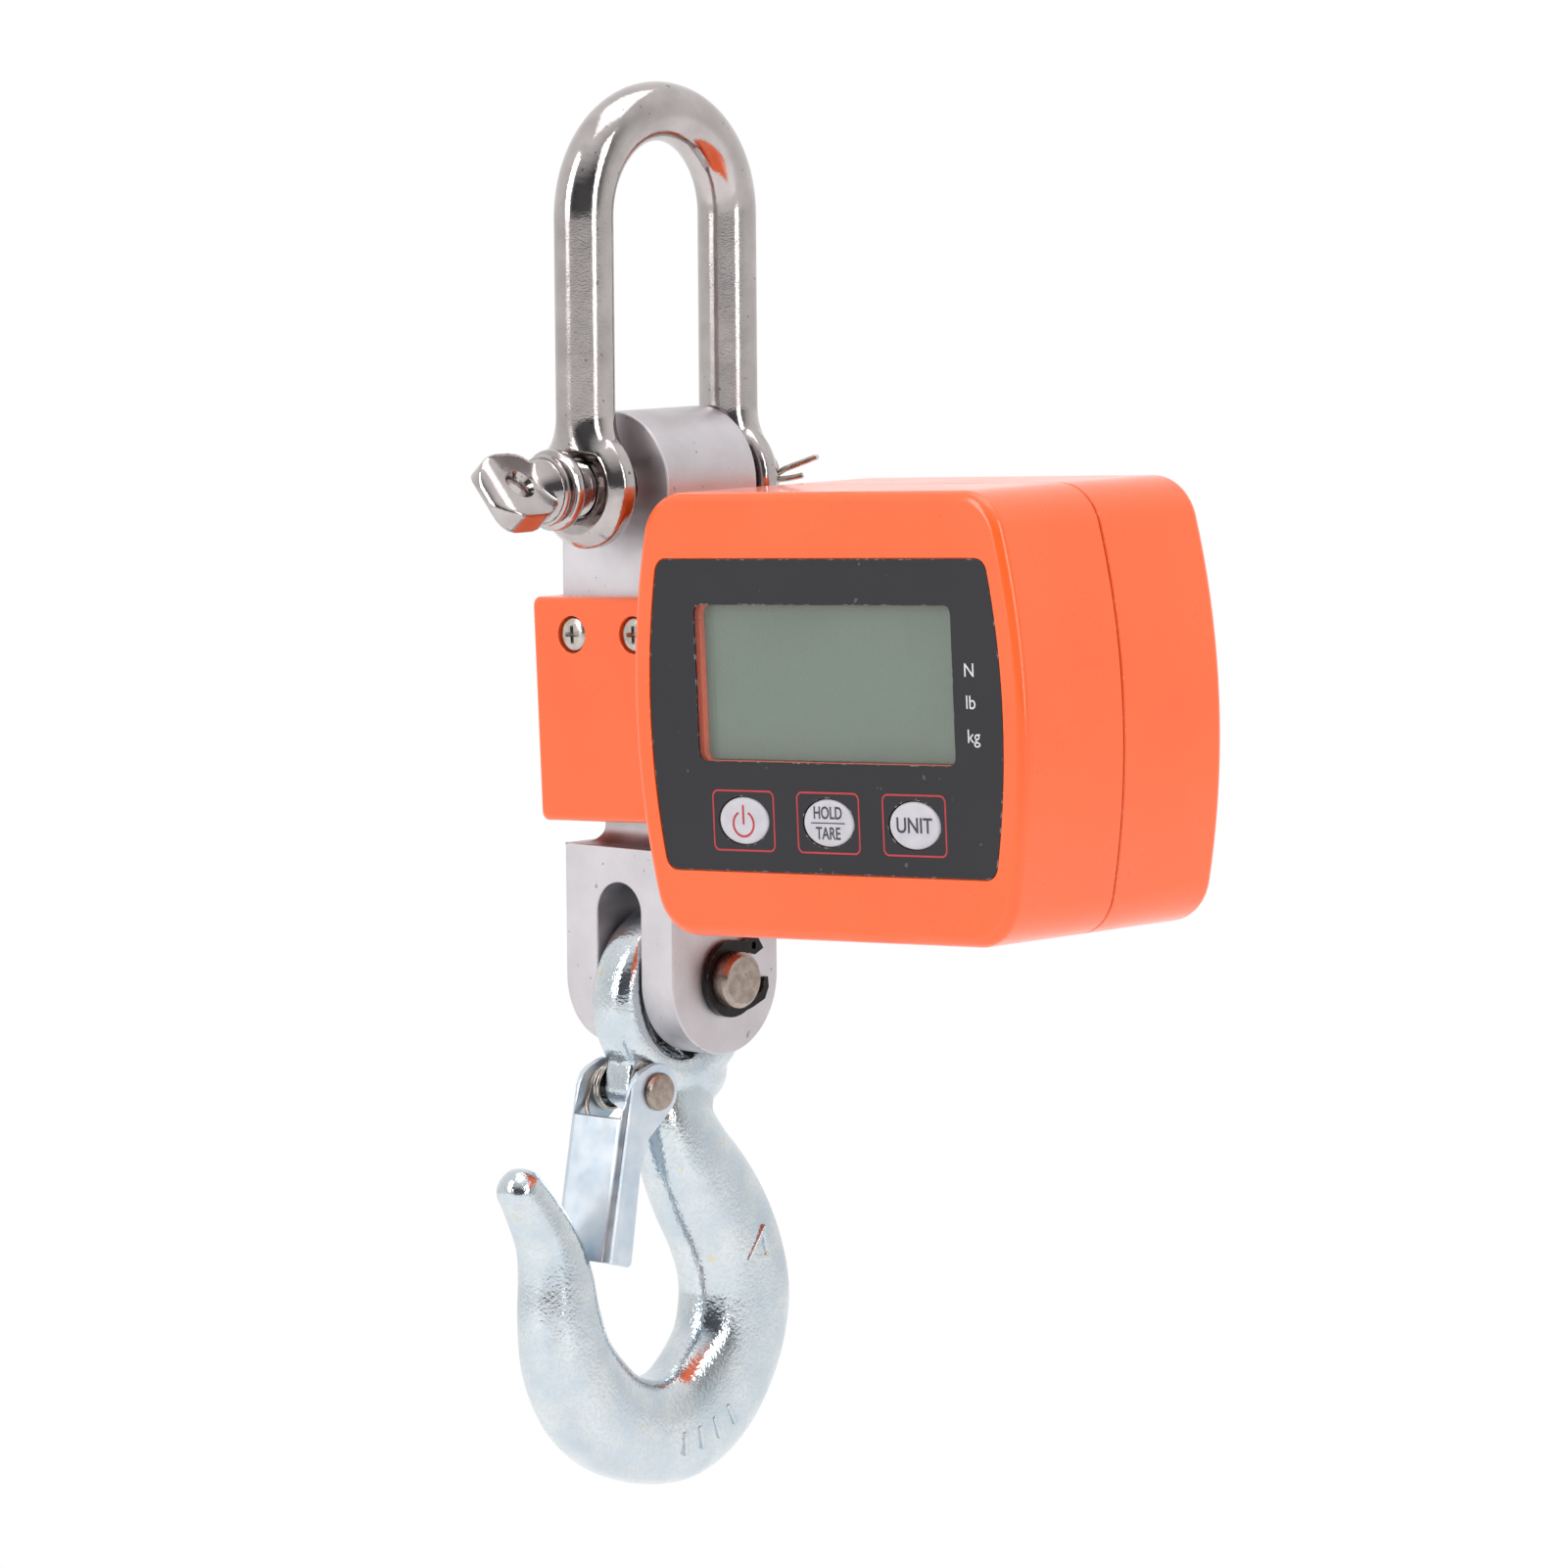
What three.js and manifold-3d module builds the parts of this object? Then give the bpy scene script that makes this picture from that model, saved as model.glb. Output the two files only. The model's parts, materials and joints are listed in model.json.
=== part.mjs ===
// Hanging scale with a side-mounted digital display, hung from a shackle and ending in a latched eye hook.
// Millimetres, +Z up, +X towards the display housing, and the display faces -Y.
// Shapes are drawn with the shackle pin's axis at z = 0 and the bar's axis at y = 0. The whole is then lowered by
// the crown height and moved back onto the shackle's middle, so the finished part's origin is the inside crown of
// the shackle, where a support holds it.

import * as THREE from 'three';
import { mergeVertices } from 'three/addons/utils/BufferGeometryUtils.js';
import Module from 'manifold-3d';

const wasm = await Module();
wasm.setup();

// ---- Driving dimensions -------------------------------------------------------------------------

// Shackle and its pin
const crownHeight = 60.4;
const rodRadius = 5.2;
const legY = 18.3;
const ear = { radius: 10.6, inner: 16.05, outer: 21.7 };
const shackleY = -2.4;
const pinRadius = 5.0;
const runningGap = 0.4;
const tab = { halfWidth: 6.7, halfThickness: 2.3, end: -43.3, root: -30.0, holeY: -36.9, holeRadius: 2.3 };
const tabTurn = -41;
const splitPinY = 24.3;

// Load cell: a square bar with a necked middle and a forked lower end
const bar = { halfX: 13.1, halfY: 13.6, lugBack: 9.2, lugFoot: -15.0 };
const neck = { halfX: 8.1, halfY: 8.6, top: -34.0, bottom: -61.2, fillet: 3.0 };
const hookPinZ = -87.9;
const forkSlot = { halfWidth: 5.3, top: -70.5 };

// Cover around the neck
const cover = {
  left: -17.2, right: 16.3, halfY: 17.1, top: -19.5, bottom: -59.4, cavity: 14.0, corner: 1.2,
};
const coverScrew = { x: 7.5, z: -26.2 };

// The cover and the housing on it sit slightly turned on the bar, with the display side raised
const tilt = THREE.MathUtils.degToRad(2.6);
const tiltCentreZ = -28.0;

// Display housing, two shells that meet at the seam
const housing = {
  left: 16.6, right: 106.8, top: -0.8, bottom: -77.7, front: -27.5, seam: -1.45, back: 25.0,
};
const sideArcRadius = 134.6;
const cornerRadius = 9.0;
const wall = 2.4;
const seamGap = 0.15;

// Front panel
const overlay = {
  top: -12.3, bottom: -66.0, sideInset: 4.6, corner: 2.5, recess: 0.6, face: -27.35, thickness: 0.4,
};
const display = { left: 32.2, right: 91.4, top: -20.1, bottom: -47.1, corner: 1.5, rebate: 1.1 };
const key = { pitch: 19.7, z: -57.3, halfX: 5.75, halfZ: 4.05, gap: 0.2 };
const boardY = -20.6;
const boardThickness = 1.6;

// Battery bay behind a door hung from its top edge
const door = { left: 31.0, right: 92.0, top: -14.7, bottom: -64.5, thickness: 2.0, gap: 0.3 };
const cell = { radius: 7.1, length: 49.2, pitch: 15.9, y: 13.2 };

// Hook, its pin and its latch; the eye is wider than the pin, so its centre hangs below the pin's axis
const eye = { holeRadius: 9.6, rimRadius: 17.2, halfThickness: 4.4 };
const eyeZ = hookPinZ - (eye.holeRadius - pinRadius - 0.25);
const clip = { inner: 13.35, outer: 14.55, radius: 6.9, grooveRadius: 4.2 };
const rivet = { y: -11.2, z: -107.5, radius: 2.2, headRadius: 3.4, headHeight: 1.2 };
const latch = { halfWidth: 7.0, sheet: 1.2 };

// ---- Finishes -----------------------------------------------------------------------------------

const finishes = {
  stainless: { color: 0xc8c6c4, roughness: 0.15, metalness: 1.0 },
  steel: { color: 0xb0aba6, roughness: 0.35, metalness: 1.0 },
  zinc: { color: 0xc3ccd2, roughness: 0.45, metalness: 0.9 },
  aluminium: { color: 0xcfccd2, roughness: 0.5, metalness: 0.8 },
  paint: { color: 0xff7236, roughness: 0.35, metalness: 0.0 },
  panel: { color: 0x434247, roughness: 0.5, metalness: 0.0 },
  keycap: { color: 0xe4e0e6, roughness: 0.5, metalness: 0.0 },
  clear: { color: 0xdfe8e2, roughness: 0.05, metalness: 0.0 },
  screen: { color: 0x82937f, roughness: 0.3, metalness: 0.0 },
  black: { color: 0x222124, roughness: 0.5, metalness: 0.1 },
  rubber: { color: 0x1b1b1d, roughness: 0.8, metalness: 0.0 },
  board: { color: 0x1f6b3a, roughness: 0.5, metalness: 0.0 },
  cellWrap: { color: 0x3b5f8c, roughness: 0.35, metalness: 0.2 },
};

// ---- Solids: closed meshes that can be joined and cut ---------------------------------------------

function signedVolume(position, corners) {
  const [a, b, c] = [new THREE.Vector3(), new THREE.Vector3(), new THREE.Vector3()];
  let total = 0;
  for (let i = 0; i < corners.length; i += 3) {
    a.fromArray(position, 3 * corners[i]);
    b.fromArray(position, 3 * corners[i + 1]);
    c.fromArray(position, 3 * corners[i + 2]);
    total += a.dot(b.cross(c)) / 6;
  }
  return total;
}

// Merges shared vertices, drops collapsed triangles and turns the faces outwards.
function solid(geometry) {
  const bare = geometry.clone();
  bare.deleteAttribute('normal');
  bare.deleteAttribute('uv');
  const merged = mergeVertices(bare, 1e-4);
  const position = merged.getAttribute('position').array;
  const index = merged.getIndex().array;
  const corners = [];
  for (let i = 0; i < index.length; i += 3) {
    const [a, b, c] = [index[i], index[i + 1], index[i + 2]];
    if (a !== b && b !== c && c !== a) corners.push(a, b, c);
  }
  if (signedVolume(position, corners) < 0) corners.reverse();
  return new wasm.Manifold(new wasm.Mesh({
    numProp: 3,
    vertProperties: new Float32Array(position),
    triVerts: new Uint32Array(corners),
  }));
}

// The two ends of a range, lowest first.
function span(a, b) {
  return a < b ? [a, b] : [b, a];
}

function join(...bodies) {
  return bodies.reduce((whole, body) => whole.add(body));
}

function cut(body, ...tools) {
  return tools.reduce((rest, tool) => rest.subtract(tool), body);
}

function toGeometry(body) {
  const mesh = body.getMesh();
  const geometry = new THREE.BufferGeometry();
  geometry.setAttribute('position', new THREE.BufferAttribute(new Float32Array(mesh.vertProperties), 3));
  geometry.setIndex(new THREE.BufferAttribute(new Uint32Array(mesh.triVerts), 1));
  geometry.computeVertexNormals();
  return geometry;
}

// ---- Basic shapes -------------------------------------------------------------------------------

function box([x0, x1], [y0, y1], [z0, z1]) {
  const geometry = new THREE.BoxGeometry(x1 - x0, y1 - y0, z1 - z0);
  return solid(geometry.translate((x0 + x1) / 2, (y0 + y1) / 2, (z0 + z1) / 2));
}

// Turns a body of revolution about Y into one about the named axis.
function turnFromY(geometry, axis) {
  if (axis === 'x') geometry.rotateZ(-Math.PI / 2);
  if (axis === 'z') geometry.rotateX(Math.PI / 2);
  return geometry;
}

// Solid of revolution: profile rows are [radius, distance along the axis].
function revolve(profile, axis, segments, centre = [0, 0, 0]) {
  const points = profile.map(([radius, along]) => new THREE.Vector2(radius, along));
  return solid(turnFromY(new THREE.LatheGeometry(points, segments), axis).translate(...centre));
}

function rod(axis, radius, [start, end], centre = [0, 0, 0], segments = 20) {
  return revolve([[0, start], [radius, start], [radius, end], [0, end]], axis, segments, centre);
}

function extrusion(shape, depth, curveSegments) {
  return new THREE.ExtrudeGeometry(shape, { depth, bevelEnabled: false, curveSegments });
}

// An outline in XZ carried along Y.
function alongY(shape, [y0, y1], arcSteps = 6) {
  const geometry = extrusion(shape, y1 - y0, arcSteps);
  return solid(geometry.rotateX(Math.PI / 2).translate(0, y1, 0));
}

// An outline in YZ carried along X.
function alongX(shape, [x0, x1], arcSteps = 6) {
  const geometry = extrusion(shape, x1 - x0, arcSteps);
  const toX = new THREE.Matrix4().makeBasis(
    new THREE.Vector3(0, 1, 0), new THREE.Vector3(0, 0, 1), new THREE.Vector3(1, 0, 0));
  return solid(geometry.applyMatrix4(toX).translate(x0, 0, 0));
}

// An outline in XY carried along Z.
function alongZ(shape, [z0, z1], arcSteps = 4) {
  return solid(extrusion(shape, z1 - z0, arcSteps).translate(0, 0, z0));
}

// A round wire along a smooth line through the points.
function wire(points, radius, steps, sides = 8) {
  const section = new THREE.Shape();
  section.absarc(0, 0, radius, 0, 2 * Math.PI);
  const corners = points.map((point) => new THREE.Vector3(...point));
  const path = new THREE.CatmullRomCurve3(corners, false, 'centripetal');
  return solid(new THREE.ExtrudeGeometry(section, { steps, extrudePath: path, curveSegments: sides / 2 }));
}

function polygon(points) {
  return new THREE.Shape(points.map(([u, v]) => new THREE.Vector2(u, v)));
}

function roundedRectangle([u0, u1], [v0, v1], radius) {
  const shape = new THREE.Shape();
  shape.absarc(u1 - radius, v1 - radius, radius, Math.PI / 2, 0, true);
  shape.absarc(u1 - radius, v0 + radius, radius, 0, -Math.PI / 2, true);
  shape.absarc(u0 + radius, v0 + radius, radius, -Math.PI / 2, -Math.PI, true);
  shape.absarc(u0 + radius, v1 - radius, radius, Math.PI, Math.PI / 2, true);
  return shape;
}

function ellipse(u, v, halfU, halfV) {
  const shape = new THREE.Shape();
  shape.absellipse(u, v, halfU, halfV, 0, 2 * Math.PI);
  return shape;
}

// A closed skin over a row of rings that all have the same number of points, with flat ends.
function loft(rings) {
  const count = rings[0].length;
  const position = rings.flat(2);
  const index = [];
  rings.slice(1).forEach((ring, level) => {
    ring.forEach((point, i) => {
      const near = level * count;
      const far = near + count;
      const next = (i + 1) % count;
      index.push(near + i, near + next, far + next, near + i, far + next, far + i);
    });
  });
  const last = (rings.length - 1) * count;
  for (let i = 1; i < count - 1; i += 1) {
    index.push(0, i + 1, i, last, last + i, last + i + 1);
  }
  const geometry = new THREE.BufferGeometry();
  geometry.setAttribute('position', new THREE.Float32BufferAttribute(position, 3));
  geometry.setIndex(index);
  return solid(geometry);
}

// One ring of a bar that runs in the YZ plane: an oval across the direction of travel.
function barRing({ y, z, normal, halfWidth, halfThickness }, sides, squareness = 2) {
  return Array.from({ length: sides }, (_, i) => {
    const angle = (2 * Math.PI * i) / sides;
    const reach = Math.sign(Math.cos(angle)) * Math.abs(Math.cos(angle)) ** (2 / squareness) * halfWidth;
    const sine = Math.sin(angle);
    const across = Math.sign(sine) * Math.abs(sine) ** (2 / squareness) * halfThickness;
    return [across, y + normal[0] * reach, z + normal[1] * reach];
  });
}

// ---- Fasteners ----------------------------------------------------------------------------------

// A pan-head screw along an axis. The head's outer face is at `head`, and the shank runs to `tip`.
function panScrew({ axis, centre, head, tip, headRadius = 2.8, headHeight = 1.9, shankRadius = 1.5 }) {
  const inward = Math.sign(tip - head);
  const seat = head + inward * headHeight;
  const profile = [
    [0, head], [headRadius * 0.75, head], [headRadius, head + inward * headHeight * 0.45],
    [headRadius, seat], [shankRadius, seat], [shankRadius, tip], [0, tip],
  ];
  return revolve(profile, axis, 12, centre);
}

// Cuts a cross recess into the outer end of a screw that lies along Y.
function crossRecess(body, [x, , z], head, inward) {
  const reach = 1.7;
  const slot = 0.35;
  const depth = span(head - inward, head + inward * 0.95);
  return cut(body, box([x - reach, x + reach], depth, [z - slot, z + slot]),
    box([x - slot, x + slot], depth, [z - reach, z + reach]));
}

// ---- Assembly bookkeeping -------------------------------------------------------------------------

const scale = new THREE.Group();
scale.position.set(0, -shackleY, -crownHeight);

// Holds the cover, the housing and all that is fixed to them, drawn square and turned together.
const turned = new THREE.Group();
turned.rotation.y = -tilt;
turned.position.set(-Math.sin(-tilt) * tiltCentreZ, 0, (1 - Math.cos(tilt)) * tiltCentreZ);
scale.add(turned);

// Where a point drawn at x, z in the turned group ends up on the bar.
function onBar(x, z) {
  const rise = z - tiltCentreZ;
  return [
    x * Math.cos(tilt) - rise * Math.sin(tilt),
    tiltCentreZ + x * Math.sin(tilt) + rise * Math.cos(tilt),
  ];
}

function add(name, body, finish, parent = scale) {
  const mesh = new THREE.Mesh(toGeometry(body), new THREE.MeshStandardMaterial(finishes[finish]));
  mesh.name = name;
  parent.add(mesh);
}

function addTurned(name, body, finish) {
  add(name, body, finish, turned);
}

// ---- Shackle bow: two legs, a half-round crown and bored ears ---------------------------------------

function shackleBow() {
  const archZ = crownHeight + rodRadius - legY;
  const round = { halfWidth: rodRadius, halfThickness: rodRadius };
  const leg = (side) => [
    { y: side * legY, z: 0, normal: [side, 0], halfWidth: rodRadius, halfThickness: 9.0 },
    { y: side * legY, z: 6, normal: [side, 0], halfWidth: rodRadius, halfThickness: 8.2 },
    { y: side * legY, z: 13, normal: [side, 0], ...round },
  ];
  const archSteps = 12;
  const arch = Array.from({ length: archSteps + 1 }, (_, i) => {
    const angle = Math.PI * (1 - i / archSteps);
    const normal = [Math.cos(angle), Math.sin(angle)];
    return { y: legY * normal[0], z: archZ + legY * normal[1], normal, ...round };
  });
  const rings = [...leg(-1), ...arch, ...leg(1).reverse()].map((station) => barRing(station, 12));
  const ears = [-1, 1].map((side) => {
    const profile = [
      [0, ear.inner], [ear.radius - 0.6, ear.inner], [ear.radius, ear.inner + 0.8],
      [ear.radius, ear.outer - 2.4], [ear.radius - 2.0, ear.outer], [0, ear.outer],
    ];
    return revolve(profile.map(([radius, along]) => [radius, side * along]), 'y', 20);
  });
  return cut(join(loft(rings), ...ears), rod('y', pinRadius + 0.3, [-30, 30]));
}

// ---- Shackle pin: collared shank with a flat thumb tab, locked by a split pin -----------------------

function shacklePin() {
  const shankEnd = 27.0;
  const profile = [
    [0, -32.0], [4.6, -32.0], [6.3, -29.2], [6.3, -28.4], [5.6, -28.2], [5.6, -27.9],
    [7.2, -27.4], [7.2, -25.7], [6.8, -25.3], [pinRadius - 0.4, -25.3], [pinRadius - 0.4, -24.4],
    [pinRadius, -23.8], [pinRadius, shankEnd - 0.7], [pinRadius - 0.7, shankEnd], [0, shankEnd],
  ];
  const shank = revolve(profile, 'y', 16);
  const outline = roundedRectangle([tab.end, tab.root], [-tab.halfWidth, tab.halfWidth], 3.2);
  const blank = alongX(outline, [-tab.halfThickness, tab.halfThickness], 3);
  const hole = rod('x', tab.holeRadius, [-5, 5], [0, tab.holeY, 0], 12);
  const thumbTab = cut(blank, hole).rotate([0, tabTurn, 0]);
  return cut(join(shank, thumbTab), rod('x', 1.25, [-8, 8], [0, splitPinY, 0], 10));
}

// One wire doubled back on itself: a loop on one side of the pin and two splayed legs on the other.
function splitPin() {
  const radius = 0.5;
  const half = 0.54;
  const points = [
    [12.8, splitPinY + 3.6, 3.6], [9.2, splitPinY + 1.4, 1.9], [5.6, splitPinY, half], [0, splitPinY, half],
    [-5.8, splitPinY, half], [-7.2, splitPinY, 1.6], [-9.2, splitPinY, 1.7], [-10.4, splitPinY, 0],
    [-9.2, splitPinY, -1.7], [-7.2, splitPinY, -1.6], [-5.8, splitPinY, -half], [0, splitPinY, -half],
    [5.6, splitPinY, -half], [8.0, splitPinY + 0.9, -0.3], [10.4, splitPinY + 2.4, 0.2],
  ];
  return wire(points, radius, 30, 6);
}

// The shackle hangs about the middle of the bar's thinner upper lug.
const onLug = [0, shackleY, 0];
add('shackle_bow', shackleBow().translate(onLug), 'stainless');
add('shackle_pin', shacklePin().translate(onLug), 'stainless');
add('split_pin', splitPin().translate(onLug), 'stainless');

// ---- Load cell ------------------------------------------------------------------------------------

// Half of a necked outline, from the upper block's side to the lower block's side, for one half-width.
function neckedSide(shape, side, halfBlock, halfNeck) {
  const { top, bottom, fillet } = neck;
  const centre = side * (halfNeck + fillet);
  if (side > 0) {
    shape.lineTo(halfBlock, top + fillet);
    shape.lineTo(centre, top + fillet);
    shape.absarc(centre, top, fillet, Math.PI / 2, Math.PI, false);
    shape.absarc(centre, bottom, fillet, Math.PI, 1.5 * Math.PI, false);
    shape.lineTo(halfBlock, bottom - fillet);
  } else {
    shape.lineTo(-halfBlock, bottom - fillet);
    shape.lineTo(centre, bottom - fillet);
    shape.absarc(centre, bottom, fillet, -Math.PI / 2, 0, false);
    shape.absarc(centre, top, fillet, 0, Math.PI / 2, false);
    shape.lineTo(-halfBlock, top + fillet);
  }
}

function loadCell() {
  const lowest = hookPinZ - bar.halfY;
  const frontView = new THREE.Shape();
  frontView.absarc(0, 0, bar.halfX, Math.PI, 0, true);
  neckedSide(frontView, 1, bar.halfX, neck.halfX);
  frontView.lineTo(bar.halfX, lowest - 1);
  frontView.lineTo(-bar.halfX, lowest - 1);
  neckedSide(frontView, -1, bar.halfX, neck.halfX);

  const sideView = new THREE.Shape();
  sideView.moveTo(-bar.halfY, bar.halfX + 1);
  sideView.lineTo(bar.halfY, bar.halfX + 1);
  neckedSide(sideView, 1, bar.halfY, neck.halfY);
  sideView.absarc(0, hookPinZ, bar.halfY, 0, -Math.PI, true);
  neckedSide(sideView, -1, bar.halfY, neck.halfY);

  const blank = alongY(frontView, [-bar.halfY - 1, bar.halfY + 1], 4)
    .intersect(alongX(sideView, [-bar.halfX - 1, bar.halfX + 1], 4));

  const archZ = forkSlot.top - forkSlot.halfWidth;
  const slotOutline = new THREE.Shape();
  slotOutline.absarc(0, archZ, forkSlot.halfWidth, Math.PI, 0, true);
  slotOutline.lineTo(forkSlot.halfWidth, lowest - 2);
  slotOutline.lineTo(-forkSlot.halfWidth, lowest - 2);

  const tappedHoles = [-1, 1].flatMap((face) => [-1, 1].map((side) => {
    const [x, z] = onBar(side * coverScrew.x, coverScrew.z);
    return rod('y', 1.65, span(face * (bar.halfY + 1), face * 5.0), [x, 0, z], 12);
  }));
  return cut(
    blank,
    box([-20, 20], [bar.lugBack, 20], [bar.lugFoot, 20]),
    rod('y', pinRadius + runningGap, [-20, 20]),
    rod('x', pinRadius + 0.15, [-20, 20], [0, 0, hookPinZ]),
    alongY(slotOutline, [-20, 20], 4),
    ...tappedHoles);
}

function strainGauge(side) {
  const face = side * (neck.halfX + 0.1);
  const midZ = (neck.top + neck.bottom) / 2;
  return box(span(face, face + side * 0.6), [-4.5, 4.5], [midZ - 6.5, midZ + 6.5]);
}

add('load_cell', loadCell(), 'aluminium');
add('strain_gauge_left', strainGauge(-1), 'board');
add('strain_gauge_right', strainGauge(1), 'board');

// ---- Cover: front and rear channels screwed to the upper block -------------------------------------

const sideScrewZ = [-30, -48];
const sideScrewY = { front: -8.5, rear: 12.0 };
const cableHole = { y: 5.5, z: -39.0, radius: 3.1 };

function coverHalf(face) {
  const plan = roundedRectangle([cover.left, cover.right], [-cover.halfY, cover.halfY], cover.corner);
  const outer = alongZ(plan, [cover.bottom, cover.top]);
  const half = outer.intersect(box([-30, 30], span(face * seamGap, face * cover.halfY), [-80, 0]));
  const cavityY = [-bar.halfY - 0.3, bar.halfY + 0.3];
  const cavity = box([-cover.cavity, cover.cavity], cavityY, [cover.bottom - 1, cover.top + 1]);
  const screwHoles = [-1, 1].flatMap((side) => {
    const centre = [side * coverScrew.x, 0, coverScrew.z];
    const outside = face * (cover.halfY + 1);
    const seat = face * (cover.halfY - 2.1);
    const clearance = rod('y', 1.75, span(outside, face * 10), centre, 10);
    return [clearance, rod('y', 3.5, span(outside, seat), centre, 16)];
  });
  const y = face < 0 ? sideScrewY.front : sideScrewY.rear;
  const sideHoles = sideScrewZ.map((z) => rod('x', 1.6, [10, 20], [0, y, z], 12));
  const cablePassage = rod('x', cableHole.radius, [10, 20], [0, cableHole.y, cableHole.z], 12);
  return cut(half, cavity, ...screwHoles, ...sideHoles, cablePassage);
}

addTurned('cover_front', coverHalf(-1), 'paint');
addTurned('cover_rear', coverHalf(1), 'paint');

[-1, 1].forEach((face, row) => [-1, 1].forEach((side, column) => {
  const centre = [side * coverScrew.x, 0, coverScrew.z];
  const head = face * (cover.halfY - 0.15);
  const screw = panScrew({ axis: 'y', centre, head, tip: face * 6.0 });
  addTurned(`cover_screw_${row * 2 + column + 1}`, crossRecess(screw, centre, head, -face), 'steel');
}));

// ---- Housing --------------------------------------------------------------------------------------

const centreX = (housing.left + housing.right) / 2;
const centreZ = (housing.top + housing.bottom) / 2;
const halfHeight = (housing.top - housing.bottom) / 2;
const sideArcX = housing.right - sideArcRadius - centreX;
const cornerRise = halfHeight - cornerRadius;
const cornerX = sideArcX + Math.sqrt((sideArcRadius - cornerRadius) ** 2 - cornerRise ** 2);
const sideAngle = Math.asin(cornerRise / (sideArcRadius - cornerRadius));

// The housing seen from the front: flat top and bottom, bowed sides and round corners, set in all round.
function housingOutline(inset = 0) {
  const shape = new THREE.Shape();
  const corner = cornerRadius - inset;
  const bow = sideArcRadius - inset;
  shape.absarc(centreX + cornerX, centreZ + cornerRise, corner, Math.PI / 2, sideAngle, true);
  shape.absarc(centreX + sideArcX, centreZ, bow, sideAngle, -sideAngle, true);
  shape.absarc(centreX + cornerX, centreZ - cornerRise, corner, -sideAngle, -Math.PI / 2, true);
  shape.absarc(centreX - cornerX, centreZ - cornerRise, corner, -Math.PI / 2, -Math.PI + sideAngle, true);
  shape.absarc(centreX - sideArcX, centreZ, bow, -Math.PI + sideAngle, -Math.PI - sideAngle, true);
  shape.absarc(centreX - cornerX, centreZ + cornerRise, corner, Math.PI - sideAngle, Math.PI / 2, true);
  return shape;
}

// The panel: sides bowed like the housing's, with a straight top and bottom.
function panelOutline(grow = 0) {
  const shape = new THREE.Shape();
  const bow = sideArcRadius - overlay.sideInset + grow;
  const half = (overlay.top - overlay.bottom) / 2 + grow;
  const radius = overlay.corner + grow;
  const rise = half - radius;
  const reach = sideArcX + Math.sqrt((bow - radius) ** 2 - rise ** 2);
  const angle = Math.asin(rise / (bow - radius));
  shape.absarc(centreX + reach, centreZ + rise, radius, Math.PI / 2, angle, true);
  shape.absarc(centreX + sideArcX, centreZ, bow, angle, -angle, true);
  shape.absarc(centreX + reach, centreZ - rise, radius, -angle, -Math.PI / 2, true);
  shape.absarc(centreX - reach, centreZ - rise, radius, -Math.PI / 2, -Math.PI + angle, true);
  shape.absarc(centreX - sideArcX, centreZ, bow, -Math.PI + angle, -Math.PI - angle, true);
  shape.absarc(centreX - reach, centreZ + rise, radius, Math.PI - angle, Math.PI / 2, true);
  return shape;
}

function displayOutline(grow) {
  return roundedRectangle([display.left - grow, display.right + grow],
    [display.bottom - grow, display.top + grow], display.corner);
}

const keyX = [-1, 0, 1].map((place) => centreX + 0.2 + place * key.pitch);
const postX = [centreX - 31.5, centreX + 31.5];
const postZ = [centreZ + 29.0, centreZ - 29.0];
const posts = postX.flatMap((x) => postZ.map((z) => [x, z]));
const standoffs = [-36.3, 36.3].flatMap((dx) => [19.0, -19.0].map((dz) => [centreX + dx, centreZ + dz]));

function housingFront() {
  const recessFloor = housing.front + overlay.recess;
  const collarEnd = housing.front + 5.0;
  const shell = alongY(housingOutline(), [housing.front, housing.seam - seamGap], 3);
  const hollow = alongY(housingOutline(wall), [housing.front + wall, 5], 3);
  const collar = alongY(displayOutline(1.3), [housing.front + wall - 0.5, collarEnd], 2);
  const rootY = housing.front + 1.5;
  const screwPosts = posts.map(([x, z]) => rod('y', 3.3, [rootY, housing.seam - 1], [x, 0, z], 10));
  const boardPosts = standoffs.map(([x, z]) => rod('y', 2.3, [rootY, boardY - 0.1], [x, 0, z], 8));
  const body = join(cut(shell, hollow), collar, ...screwPosts, ...boardPosts);
  const recess = alongY(panelOutline(0.2), [housing.front - 1, recessFloor], 3);
  const rebate = alongY(displayOutline(display.rebate), [housing.front - 1, recessFloor + 1.1], 2);
  const opening = alongY(displayOutline(0), [housing.front - 1, collarEnd + 1], 2);
  const keyHoles = keyX.map((x) => alongY(
    ellipse(x, key.z, key.halfX + 0.5, key.halfZ + 0.5), [housing.front - 1, housing.front + wall + 1], 6));
  const postHoles = posts.map(([x, z]) => rod('y', 1.4, [housing.seam - 14, 0], [x, 0, z], 8));
  const boardHoles = standoffs.map(([x, z]) => rod('y', 1.0, [boardY - 4, boardY + 1], [x, 0, z], 8));
  const sideHoles = sideScrewZ.map((z) => rod('x', 1.75, [10, 30], [0, sideScrewY.front, z], 8));
  return cut(body, recess, rebate, opening, ...keyHoles, ...postHoles, ...boardHoles, ...sideHoles);
}

const doorHingeY = housing.back - 0.15 - door.thickness / 2;
const doorHingeZ = door.top - door.thickness / 2;
const bay = { left: 33.5, right: 89.5, top: -16.0, bottom: -63.0, rim: 1.7 };

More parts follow.
